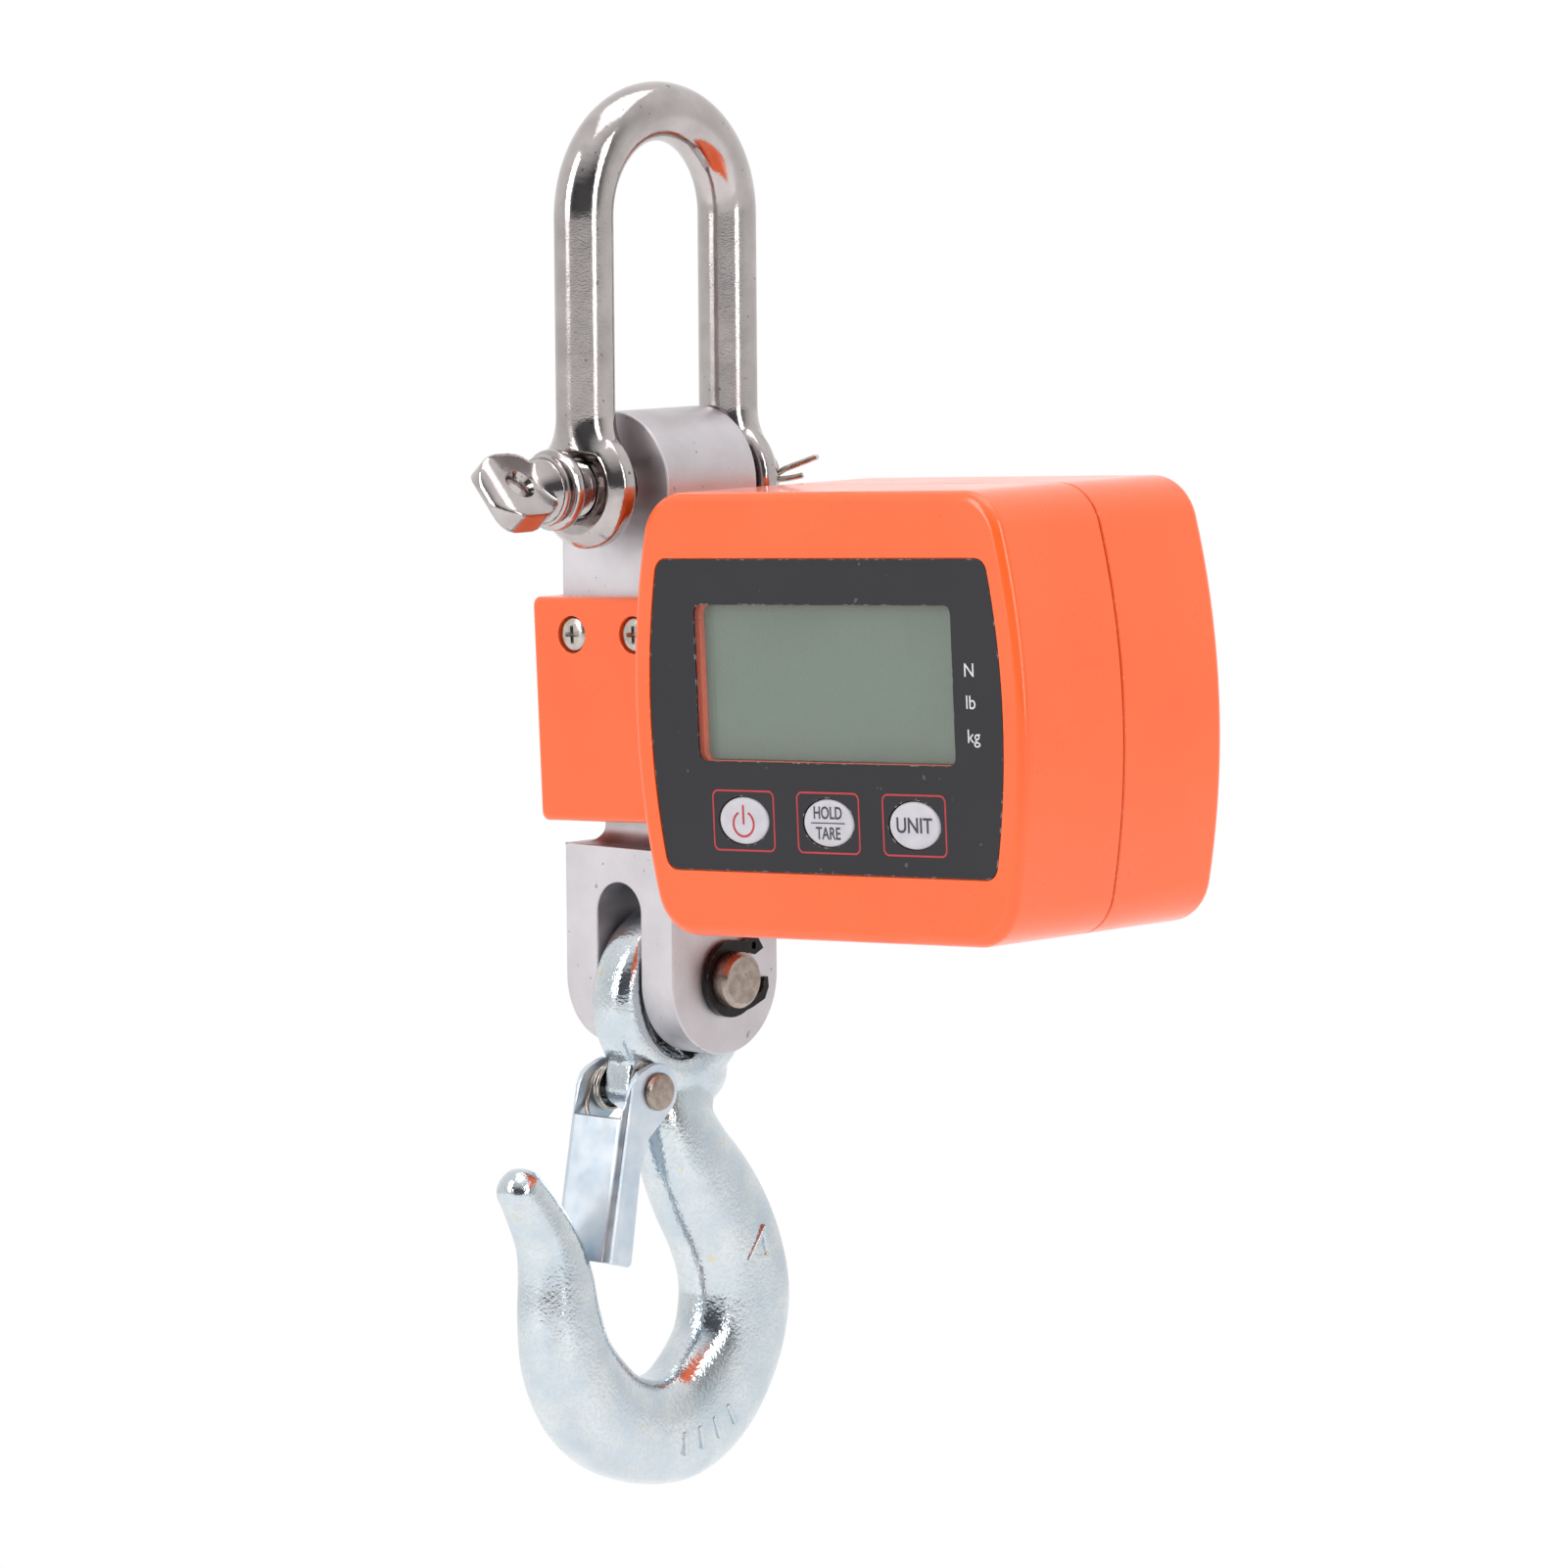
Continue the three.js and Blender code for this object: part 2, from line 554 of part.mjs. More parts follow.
function housingRear() {
  const shell = alongY(housingOutline(), [housing.seam + seamGap, housing.back], 3);
  const hollow = alongY(housingOutline(wall), [-5, housing.back - wall], 3);
  const rimFront = housing.back - wall - bay.rim;
  const rim = box([door.left - 2.5, door.right + 2.5], [rimFront, housing.back - 1],
    [door.bottom - 2.5, door.top + 2.5]);
  const bosses = posts.map(([x, z]) => rod('y', 3.6, [housing.seam + 1, housing.back - 1], [x, 0, z], 10));
  const body = join(cut(shell, hollow), rim, ...bosses);
  const doorway = roundedRectangle(
    [door.left - door.gap, door.right + door.gap], [door.bottom - door.gap, door.top + door.gap], 0.5);
  const opening = alongY(doorway, [housing.back - wall, housing.back + 1], 3);
  const bayOpening = box([bay.left, bay.right], [rimFront - 1, housing.back], [bay.bottom, bay.top]);
  const pegHoles = rod('x', 0.95, [door.left - 2.0, door.right + 2.0], [0, doorHingeY, doorHingeZ], 12);
  const screwHoles = posts.flatMap(([x, z]) => [
    rod('y', 1.75, [-3, housing.back + 1], [x, 0, z], 8),
    rod('y', 3.2, [housing.back - 6.0, housing.back + 1], [x, 0, z], 12),
  ]);
  const sideHoles = sideScrewZ.map((z) => rod('x', 1.75, [10, 30], [0, sideScrewY.rear, z], 8));
  const cablePassage = rod('x', cableHole.radius + 0.2, [10, 30], [0, cableHole.y, cableHole.z], 12);
  return cut(body, opening, bayOpening, pegHoles, ...screwHoles, ...sideHoles, cablePassage);
}

function housingSeal() {
  const gap = [housing.seam - seamGap + 0.03, housing.seam + seamGap - 0.03];
  return cut(alongY(housingOutline(0.5), gap, 3), alongY(housingOutline(wall - 0.3), [-5, 5], 3));
}

addTurned('housing_front', housingFront(), 'paint');
addTurned('housing_rear', housingRear(), 'paint');
addTurned('housing_seal', housingSeal(), 'rubber');

posts.forEach(([x, z], i) => {
  const [head, tip] = [housing.back - 3.9, housing.seam - 8];
  const screw = panScrew({ axis: 'y', centre: [x, 0, z], head, tip, shankRadius: 1.25 });
  addTurned(`housing_screw_${i + 1}`, screw, 'steel');
});

sideScrewZ.forEach((z, row) => [sideScrewY.front, sideScrewY.rear].forEach((y, column) => {
  const screw = panScrew({ axis: 'x', centre: [0, y, z], head: housing.left + wall + 2.5, tip: 13.9 });
  addTurned(`side_screw_${row * 2 + column + 1}`, screw, 'steel');
}));

// ---- Front panel, keys and display ------------------------------------------------------------------

function panelOverlay() {
  const sheet = [overlay.face, overlay.face + overlay.thickness];
  const keyHoles = keyX.map((x) => alongY(
    ellipse(x, key.z, key.halfX + key.gap, key.halfZ + key.gap), [housing.front - 1, housing.front + 3], 6));
  const windowHole = alongY(displayOutline(0), [housing.front - 1, housing.front + 3], 2);
  return cut(alongY(panelOutline(), sheet, 3), windowHole, ...keyHoles);
}

function displayWindow() {
  const back = housing.front + overlay.recess + 1.05;
  return alongY(displayOutline(display.rebate - 0.15), [back - 1.0, back], 2);
}

// A cap that shows through the panel, a flange behind the wall that keeps it in, and a stem to its switch.
function keyPiece(x) {
  const flangeFront = housing.front + wall + 0.1;
  const flangeBack = flangeFront + 0.6;
  return join(
    alongY(ellipse(x, key.z, key.halfX, key.halfZ), [housing.front + 0.05, flangeFront + 0.1], 6),
    alongY(ellipse(x, key.z, key.halfX + 1.2, key.halfZ + 1.2), [flangeFront, flangeBack], 6),
    rod('y', 1.5, [flangeBack - 0.1, housing.front + 4.0], [x, 0, key.z], 8));
}

function keySwitch(x) {
  const top = housing.front + 4.5;
  return join(
    box([x - 3, x + 3], [top + 0.7, boardY - 0.05], [key.z - 3, key.z + 3]),
    rod('y', 1.7, [top, top + 0.8], [x, 0, key.z], 10));
}

addTurned('panel_overlay', panelOverlay(), 'panel');
addTurned('display_window', displayWindow(), 'clear');
['power_key', 'hold_key', 'unit_key'].forEach((name, i) => addTurned(name, keyPiece(keyX[i]), 'keycap'));
keyX.forEach((x, i) => addTurned(`key_switch_${i + 1}`, keySwitch(x), 'black'));

const screenFront = housing.front + 5.1;
const screenBack = boardY - 0.1;
const screenFrame = cut(
  alongY(displayOutline(3.2), [screenFront, screenBack], 2),
  alongY(displayOutline(1.0), [screenFront - 1, screenBack + 1], 2));
addTurned('display_frame', screenFrame, 'black');
addTurned('display_glass', alongY(displayOutline(0.8), [screenFront + 0.1, screenBack], 2), 'screen');

// ---- Electronics ------------------------------------------------------------------------------------

const boardBack = boardY + boardThickness;
const boardHalf = { x: 39.0, z: 24.4 };
const boardBlank = box([centreX - boardHalf.x, centreX + boardHalf.x], [boardY, boardBack],
  [centreZ - boardHalf.z, centreZ + boardHalf.z]);
const boardHoles = standoffs.map(([x, z]) => rod('y', 1.3, [boardY - 1, boardBack + 1], [x, 0, z], 8));
addTurned('main_board', cut(boardBlank, ...boardHoles), 'board');
standoffs.forEach(([x, z], i) => {
  const screw = panScrew({
    axis: 'y', centre: [x, 0, z], head: boardBack + 1.35, tip: boardY - 3,
    headRadius: 1.9, headHeight: 1.3, shankRadius: 0.85,
  });
  addTurned(`board_screw_${i + 1}`, screw, 'steel');
});
const buzzer = rod('y', 6.0, [boardBack + 0.1, boardBack + 5.6], [centreX + 26, 0, centreZ + 12], 16);
addTurned('buzzer', buzzer, 'black');

const cablePoints = [
  [9.6, cableHole.y, -42.5], [12.4, cableHole.y, -40.0], [16.4, cableHole.y, cableHole.z],
  [21.0, cableHole.y - 0.4, cableHole.z], [25.6, 0.5, -39.6], [27.8, -8.0, -40.6], [28.2, boardBack + 0.4, -41.4],
];
addTurned('gauge_cable', wire(cablePoints, 1.1, 20, 6), 'rubber');

const grommet = revolve([
  [1.6, housing.left + 0.3], [cableHole.radius - 0.1, housing.left + 0.3],
  [cableHole.radius - 0.1, housing.left + wall + 0.4], [4.2, housing.left + wall + 0.4],
  [4.2, housing.left + wall + 1.4], [1.6, housing.left + wall + 1.4], [1.6, housing.left + 0.3],
], 'x', 12, [0, cableHole.y, cableHole.z]);
addTurned('cable_grommet', grommet, 'rubber');

// ---- Batteries and their door -------------------------------------------------------------------------

const cellZ = [1, 0, -1].map((place) => (bay.top + bay.bottom) / 2 + place * cell.pitch);
const trayX = [centreX - 29.5, centreX + 28.9];
const cellBay = [trayX[0] + 1.4, trayX[1] - 1.4];

function batteryHolder() {
  const front = cell.y - cell.radius - 1.6;
  const back = housing.back - wall - bay.rim - 0.2;
  const [low, high] = [cellZ[2] - cell.radius - 1.6, cellZ[0] + cell.radius + 1.6];
  const bays = cellZ.flatMap((z) => [
    rod('x', cell.radius + 0.5, cellBay, [0, cell.y, z], 16),
    box(cellBay, [cell.y, back + 1], [z - cell.radius - 0.5, z + cell.radius + 0.5]),
  ]);
  return cut(box(trayX, [front, back], [low, high]), ...bays);
}

function batteryCell(z, facing) {
  const middle = (cellBay[0] + cellBay[1]) / 2;
  const half = cell.length / 2;
  const profile = [
    [0, -half], [cell.radius - 0.5, -half], [cell.radius, -half + 0.5], [cell.radius, half - 0.6],
    [cell.radius - 0.8, half], [2.7, half], [2.7, half + 1.0], [0, half + 1.0],
  ];
  return revolve(profile.map(([radius, along]) => [radius, facing * along]), 'x', 14, [middle, cell.y, z]);
}

// A spring-steel plate at one end of a cell, with a domed bump that presses on it.
function contactPlate(side, z) {
  const start = side < 0 ? cellBay[0] + 0.05 : cellBay[1] - 0.05;
  const plate = box(span(start, start - side * 0.4), [cell.y - 3.8, cell.y + 3.8], [z - 6.2, z + 6.2]);
  const profile = [[0, 0], [2.4, 0], [1.2, -side * 0.7], [0, -side * 0.7]];
  return join(plate, revolve(profile, 'x', 8, [start - side * 0.3, cell.y, z]));
}

addTurned('battery_holder', batteryHolder(), 'black');
cellZ.forEach((z, i) => {
  addTurned(`battery_cell_${i + 1}`, batteryCell(z, i % 2 === 0 ? 1 : -1), 'cellWrap');
});
cellZ.forEach((z, i) => addTurned(`contact_left_${i + 1}`, contactPlate(-1, z), 'steel'));
cellZ.forEach((z, i) => addTurned(`contact_right_${i + 1}`, contactPlate(1, z), 'steel'));

function batteryDoor() {
  const half = door.thickness / 2;
  const front = doorHingeY - half;
  const back = doorHingeY + half;
  const outline = roundedRectangle([door.left, door.right], [door.bottom, doorHingeZ + 2.0], 2.0);
  const plate = alongY(outline, [front, back], 3)
    .intersect(box([0, 120], [0, 40], [door.bottom - 1, doorHingeZ]));
  const barrel = rod('x', half, [door.left, door.right], [0, doorHingeY, doorHingeZ], 12);
  const pegs = rod('x', 0.7, [door.left - 1.5, door.right + 1.5], [0, doorHingeY, doorHingeZ], 8);
  const thumbNotch = rod('x', 4.0, [centreX - 8, centreX + 8], [0, back + 3.0, door.bottom + 4.0], 24);
  return cut(join(plate, barrel, pegs), thumbNotch);
}

addTurned('battery_door', batteryDoor(), 'black');

// ---- Hook pin and its retaining clips -------------------------------------------------------------------

function hookPin() {
  const end = bar.halfX + 4.5;
  const half = [
    [clip.inner - 0.1, pinRadius], [clip.inner - 0.05, clip.grooveRadius], [clip.outer + 0.05, clip.grooveRadius],
    [clip.outer + 0.1, pinRadius], [end - 0.6, pinRadius], [end, pinRadius - 0.6], [end, 0],
  ];
  const right = half.map(([along, radius]) => [radius, along]);
  const left = half.map(([along, radius]) => [radius, -along]).reverse();
  return revolve([...left, ...right], 'x', 18, [0, 0, hookPinZ]);
}

// Lugs at the two ends of a clip, as y, z from the pin's axis
const upperLug = [[3.6, 6.4], [5.4, 7.0], [7.1, 6.7], [8.5, 4.8], [6.3, 3.8], [4.4, 3.9]];
const lowerLug = [[4.4, -3.5], [7.4, -3.1], [8.4, -0.6], [9.6, -0.5], [9.8, -2.3], [8.8, -4.4], [5.6, -5.6]];

// A snap-on clip, open towards +Y, with lugs past its mouth.
function retainingClip(side) {
  const outline = new THREE.Shape();
  outline.absarc(0.6, 0, clip.radius, -1.1, -2 * Math.PI + 1.1, true);
  upperLug.forEach(([y, z]) => outline.lineTo(y, z));
  outline.absarc(0, 0, clip.grooveRadius + 0.15, 0.75, 2 * Math.PI - 0.75, false);
  lowerLug.forEach(([y, z]) => outline.lineTo(y, z));
  return alongX(outline, span(side * clip.inner, side * clip.outer), 8).translate([0, 0, hookPinZ]);
}

add('hook_pin', hookPin(), 'steel');
add('retaining_clip_left', retainingClip(-1), 'black');
add('retaining_clip_right', retainingClip(1), 'black');

// ---- Hook -------------------------------------------------------------------------------------------

// Middle line of the forging, from inside the eye round the bowl to the point.
// Each row: y, z, half width in the hook's plane, half thickness across it.
const hookLine = [
  [1.0, -103.0, 8.0, 4.4], [0.6, -109.5, 8.3, 4.7], [0.0, -114.5, 7.8, 5.8], [2.9, -121.0, 9.3, 6.6],
  [7.0, -127.4, 10.2, 7.0], [11.2, -134.0, 10.5, 7.2], [14.5, -141.5, 10.8, 7.4], [15.4, -149.0, 11.3, 7.5],
  [13.1, -157.4, 11.1, 7.5], [7.4, -164.7, 11.2, 7.5], [0.0, -169.1, 10.6, 7.4], [-9.0, -169.6, 9.6, 7.2],
  [-17.2, -166.7, 9.5, 7.1], [-23.3, -161.6, 9.5, 7.0], [-27.8, -154.6, 8.6, 6.8], [-29.8, -146.5, 7.4, 6.5],
  [-30.6, -139.2, 6.5, 6.0], [-32.5, -132.8, 5.3, 5.4], [-36.1, -126.8, 4.5, 4.7], [-39.1, -122.7, 4.0, 4.1],
];

function hookStations(steps) {
  const middle = new THREE.CatmullRomCurve3(hookLine.map(([y, z]) => new THREE.Vector3(0, y, z)));
  const sizes = new THREE.CatmullRomCurve3(
    hookLine.map(([, , width, thickness]) => new THREE.Vector3(width, thickness, 0)));
  const stations = Array.from({ length: steps + 1 }, (_, i) => {
    const at = i / steps;
    const point = middle.getPoint(at);
    const way = middle.getTangent(at);
    const size = sizes.getPoint(at);
    return { y: point.y, z: point.z, normal: [-way.z, way.y], halfWidth: size.x, halfThickness: size.y };
  });
  const end = stations[stations.length - 1];
  const noseSteps = 4;
  const nose = Array.from({ length: noseSteps }, (_, i) => {
    const turn = ((i + 1) / (noseSteps + 0.35)) * (Math.PI / 2);
    const advance = end.halfWidth * Math.sin(turn);
    return {
      y: end.y + end.normal[1] * advance,
      z: end.z - end.normal[0] * advance,
      normal: end.normal,
      halfWidth: end.halfWidth * Math.cos(turn),
      halfThickness: end.halfThickness * Math.cos(turn),
    };
  });
  return [...stations, ...nose];
}

function hook() {
  const forging = loft(hookStations(30).map((station) => barRing(station, 12, 2.4)));
  const { holeRadius, rimRadius, halfThickness } = eye;
  const middle = (holeRadius + rimRadius) / 2;
  const halfRim = (rimRadius - holeRadius) / 2;
  const section = Array.from({ length: 9 }, (_, i) => {
    const angle = (2 * Math.PI * i) / 8;
    return [middle + halfRim * Math.cos(angle), halfThickness * Math.sin(angle)];
  });
  const ring = revolve(section, 'x', 24, [0, 0, eyeZ]);
  const lugOutline = new THREE.Shape();
  lugOutline.absarc(rivet.y, rivet.z, 4.9, Math.PI * 0.42, Math.PI * 1.5, false);
  lugOutline.lineTo(-2, rivet.z - 8.5);
  lugOutline.lineTo(2, rivet.z - 4);
  lugOutline.lineTo(-1, rivet.z + 8);
  const lug = alongX(lugOutline, [-3.6, 3.6], 4);
  const body = join(forging, ring, lug);
  const eyeHole = rod('x', holeRadius, [-10, 10], [0, 0, eyeZ], 24);
  const rivetHole = rod('x', rivet.radius + 0.15, [-10, 10], [0, rivet.y, rivet.z], 10);
  return cut(body, eyeHole, rivetHole);
}

add('hook', hook(), 'zinc');

// ---- Latch: a folded sheet channel on a rivet, pressed shut by a torsion spring ---------------------------

function latchRivet() {
  const shoulder = latch.halfWidth + 0.1;
  const head = shoulder + rivet.headHeight;
  const half = [
    [shoulder, rivet.radius], [shoulder, rivet.headRadius], [head - 0.5, rivet.headRadius],
    [head, rivet.headRadius - 0.7], [head, 0],
  ];
  const right = half.map(([along, radius]) => [radius, along]);
  const left = half.map(([along, radius]) => [radius, -along]).reverse();
  return revolve([...left, ...right], 'x', 14, [0, rivet.y, rivet.z]);
}

const webTop = { y: -19.6, z: -111.7 };
const webBottom = { y: -24.4, z: -137.0 };

function latchChannel() {
  const cheek = new THREE.Shape();
  cheek.moveTo(webBottom.y, webBottom.z);
  cheek.lineTo(webTop.y, webTop.z);
  cheek.lineTo(-18.7, -108.4);
  cheek.lineTo(-17.2, -104.9);
  cheek.absarc(rivet.y, rivet.z, 4.9, Math.PI * 0.65, -Math.PI * 0.3, true);
  cheek.lineTo(-13.6, rivet.z - 8.2);
  cheek.lineTo(-15.9, rivet.z - 14.2);
  cheek.lineTo(webBottom.y + 6.2, webBottom.z - 0.6);
  cheek.lineTo(webBottom.y + 5.4, webBottom.z - 1.4);
  const block = alongX(cheek, [-latch.halfWidth, latch.halfWidth], 5);
  const inside = latch.halfWidth - latch.sheet;
  const webGap = latch.sheet + 0.15;
  const hollow = alongX(polygon([
    [webBottom.y + webGap - 0.9, webBottom.z - 5], [webTop.y + webGap, webTop.z],
    [webTop.y - 3, webTop.z], [webTop.y - 3, rivet.z + 10], [5, rivet.z + 10], [5, webBottom.z - 5],
  ]), [-inside, inside]);
  return cut(block, hollow, rod('x', rivet.radius + 0.15, [-10, 10], [0, rivet.y, rivet.z], 10));
}

// Coils round the rivet beside the lug, with one arm running down behind the web.
function latchSpring() {
  const coilRadius = 3.0;
  const turns = 1.5;
  const steps = 15;
  const startX = -4.05;
  const pitch = 0.75;
  const coil = Array.from({ length: steps + 1 }, (_, i) => {
    const angle = Math.PI * 0.75 + (2 * Math.PI * turns * i) / steps;
    const x = startX - (pitch * turns * i) / steps;
    return [x, rivet.y + coilRadius * Math.cos(angle), rivet.z + coilRadius * Math.sin(angle)];
  });
  const endX = startX - pitch * turns;
  const webArm = [[endX, rivet.y - 5.0, rivet.z - 6.0], [endX, rivet.y - 6.4, rivet.z - 11.5]];
  return wire([...coil, ...webArm], 0.32, 48, 6);
}

add('latch_rivet', latchRivet(), 'steel');
add('latch', latchChannel(), 'zinc');
add('latch_spring', latchSpring(), 'steel');

export default scale;
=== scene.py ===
"""Looks of the hanging scale: camera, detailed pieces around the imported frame, materials, lights and floor.

Lengths in this script are millimetres from the shackle pin's axis and the bar's axis, +Z up, until to_frame()
turns them into metres in the part's own frame.
"""

import json
import math

import bmesh
import bpy
import numpy as np
from mathutils import Matrix, Vector

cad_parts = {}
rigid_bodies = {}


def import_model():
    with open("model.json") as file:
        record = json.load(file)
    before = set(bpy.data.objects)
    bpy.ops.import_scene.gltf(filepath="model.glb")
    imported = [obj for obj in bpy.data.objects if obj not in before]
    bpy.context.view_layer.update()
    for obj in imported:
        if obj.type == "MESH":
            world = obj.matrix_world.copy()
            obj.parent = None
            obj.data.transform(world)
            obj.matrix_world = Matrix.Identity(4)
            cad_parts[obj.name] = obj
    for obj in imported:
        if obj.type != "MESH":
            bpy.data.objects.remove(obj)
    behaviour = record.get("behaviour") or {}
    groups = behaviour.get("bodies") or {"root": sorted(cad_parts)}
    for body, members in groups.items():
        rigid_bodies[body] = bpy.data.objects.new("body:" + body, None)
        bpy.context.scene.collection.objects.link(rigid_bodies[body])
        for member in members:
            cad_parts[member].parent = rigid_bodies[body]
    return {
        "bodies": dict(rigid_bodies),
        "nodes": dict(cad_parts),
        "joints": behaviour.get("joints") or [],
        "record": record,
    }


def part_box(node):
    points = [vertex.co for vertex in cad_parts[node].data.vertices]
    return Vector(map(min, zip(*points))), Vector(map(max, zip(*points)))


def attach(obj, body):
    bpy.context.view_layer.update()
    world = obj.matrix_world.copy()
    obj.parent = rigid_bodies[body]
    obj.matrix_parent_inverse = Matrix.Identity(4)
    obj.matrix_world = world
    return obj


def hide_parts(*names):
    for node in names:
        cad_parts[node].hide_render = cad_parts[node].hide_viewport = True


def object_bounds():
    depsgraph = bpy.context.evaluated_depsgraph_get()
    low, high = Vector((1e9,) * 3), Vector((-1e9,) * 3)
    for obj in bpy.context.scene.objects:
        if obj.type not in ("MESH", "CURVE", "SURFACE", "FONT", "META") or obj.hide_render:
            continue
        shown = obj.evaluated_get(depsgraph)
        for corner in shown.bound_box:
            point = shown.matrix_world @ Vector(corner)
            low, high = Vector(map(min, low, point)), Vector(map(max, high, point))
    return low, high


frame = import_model()
cad_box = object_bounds()
scene = bpy.context.scene
joints = {joint["name"]: joint for joint in frame["joints"]}

MM = 0.001
CROWN = -joints["scale_swing"]["pos_m"][2] / MM
BAR_SHIFT = joints["hook_swing"]["pos_m"][1] / MM
TAU = 2 * math.pi


# ---- Camera ----

CAMERA_AZIMUTH = math.radians(42.80)
CAMERA_ELEVATION = math.radians(5.87)
CAMERA_ROLL = math.radians(-0.43)
CAMERA_PLACE = (0.95041, -0.99413, 0.0270)
LENS = 178.2
SENSOR = 36.0


def add_camera():
    """The camera stands in front of the display, to its right and a little above."""
    back = Vector((
        math.sin(CAMERA_AZIMUTH) * math.cos(CAMERA_ELEVATION),
        -math.cos(CAMERA_AZIMUTH) * math.cos(CAMERA_ELEVATION),
        math.sin(CAMERA_ELEVATION),
    ))
    right = Vector((math.cos(CAMERA_AZIMUTH), math.sin(CAMERA_AZIMUTH), 0))
    up = back.cross(right)
    local_x = right * math.cos(CAMERA_ROLL) + up * math.sin(CAMERA_ROLL)
    local_y = up * math.cos(CAMERA_ROLL) - right * math.sin(CAMERA_ROLL)
    data = bpy.data.cameras.new("camera")
    data.lens = LENS
    data.sensor_width = SENSOR
    data.clip_end = 50.0
    camera = bpy.data.objects.new("camera", data)
    rotation = Matrix((local_x, local_y, back)).transposed().to_4x4()
    camera.matrix_world = Matrix.Translation(CAMERA_PLACE) @ rotation
    scene.collection.objects.link(camera)
    scene.camera = camera


add_camera()


# ---- Materials ----


class Nodes:
    """Short way to add shader nodes and link them."""

    def __init__(self, material):
        material.use_nodes = True
        self.tree = material.node_tree
        self.tree.nodes.clear()

    def add(self, kind, settings=None, **inputs):
        node = self.tree.nodes.new("ShaderNode" + kind)
        for name, value in (settings or {}).items():
            setattr(node, name, value)
        for name, value in inputs.items():
            numbered = name[0] == "i" and name[1:].isdigit()
            socket = node.inputs[int(name[1:]) if numbered else name.replace("_", " ")]
            if isinstance(value, bpy.types.NodeSocket):
                self.tree.links.new(value, socket)
            else:
                socket.default_value = value
        return node

    def noise(self, place, size, detail=3.0, roughness=0.55):
        """Noise with features about `size` millimetres across, from 0 to 1."""
        look = {"Scale": 1 / (size * MM), "Detail": detail, "Roughness": roughness}
        return self.add("TexNoise", Vector=place, **look).outputs["Fac"]

    def spread(self, value, low, high, to_low=0.0, to_high=1.0):
        """Maps low..high onto to_low..to_high and stops at the ends."""
        ends = {"From_Min": low, "From_Max": high, "To_Min": to_low, "To_Max": to_high}
        return self.add("MapRange", {"clamp": True}, Value=value, **ends).outputs["Result"]

    def mix(self, factor, first, second):
        return self.add("MixRGB", None, Fac=factor, Color1=first, Color2=second).outputs["Color"]

    def edges(self, width):
        """1 along edges, within `width` millimetres of them, and 0 on smooth faces."""
        plain = self.add("NewGeometry").outputs["Normal"]
        rounded = self.add("Bevel", {"samples": 6}, Radius=width * MM).outputs["Normal"]
        match = self.add("VectorMath", {"operation": "DOT_PRODUCT"}, i0=plain, i1=rounded).outputs["Value"]
        return self.spread(match, 0.93, 0.99, 1.0, 0.0)

    def math(self, operation, first, second):
        return self.add("Math", {"operation": operation}, i0=first, i1=second).outputs["Value"]


def rgb(red, green, blue):
    """Linear colour of an 8-bit screen colour."""
    def linear(value):
        value /= 255
        return value / 12.92 if value <= 0.04045 else ((value + 0.055) / 1.055) ** 2.4
    return (linear(red), linear(green), linear(blue), 1.0)


def surface(
    name, colour, roughness, metallic, other, patch, grain, bump, grain_detail=3.0, wave=0.0, wave_size=6.0,
    coat=0.0, edge=None, edge_width=0.3, wear_and_highlight_share=(0.50, 0.62), specks=None, speck_size=1.6, stretch=None,
    painted_hollow_shade=None, mottle=None, alpha=1.0, specular=0.5,
):
    """A procedural material.

    colour mixes with `other` in patches `patch` mm across. roughness is a (low, high) pair. Two bumps add up:
    grain, `grain` mm across and `bump` mm deep, and a slow wave. edge is a lighter colour on edges, partly
    wear and partly painted highlight, specks of sparse small spots, painted_hollow_shade a darker colour
    painted into hollow corners as shade, and mottle of a faint tint in every second grain.
    wear_and_highlight_share sets how much of an edge is lightened, as wear and painted highlight. stretch
    scales the grain along each axis.
    """
    material = bpy.data.materials.new(name)
    n = Nodes(material)
    place = n.add("TexCoord").outputs["Object"]
    patches = n.noise(place, patch)
    base = n.mix(n.spread(patches, 0.35, 0.65), colour, other)
    grain_place = place
    if stretch:
        grain_place = n.add("Mapping", None, Vector=place, Scale=stretch).outputs["Vector"]
    fine = n.noise(grain_place, grain, grain_detail)
    if mottle:
        base = n.mix(n.spread(fine, 0.45, 0.62, 0.0, 0.55), base, mottle)
    # Edges go lighter towards the edge colour in noisy spots: partly wear, partly painted highlight.
    if edge:
        wear_and_highlight_spots = n.spread(n.noise(place, 1.2, 4.0), *wear_and_highlight_share)
        base = n.mix(n.math("MULTIPLY", n.edges(edge_width), wear_and_highlight_spots), base, edge)
    # Painted shade: hollow corners, where pointiness is low, darken towards this colour.
    if painted_hollow_shade:
        pointiness = n.add("NewGeometry").outputs["Pointiness"]
        base = n.mix(n.spread(pointiness, 0.40, 0.48, 0.7, 0.0), base, painted_hollow_shade)
    if specks:
        spots = n.spread(n.noise(place, speck_size, 1.0), 0.74, 0.77)
        base = n.mix(spots, base, specks)
    low, high = roughness
    rough = n.spread(n.noise(place, patch * 0.6, 5.0), 0.3, 0.7, low, high)
    normal = n.add("Bump", None, Strength=1.0, Distance=bump * MM, Height=fine).outputs["Normal"]
    if wave:
        slow = n.noise(place, wave_size, 1.0)
        swell = n.add("Bump", None, Strength=1.0, Distance=wave * MM, Height=slow, Normal=normal)
        normal = swell.outputs["Normal"]
    shader = n.add(
        "BsdfPrincipled", None, Base_Color=base, Metallic=metallic, Roughness=rough, Normal=normal,
        Coat_Weight=coat, Coat_Roughness=0.06, Alpha=alpha, Specular_IOR_Level=specular)
    n.add("OutputMaterial", None, Surface=shader.outputs["BSDF"])
    return material


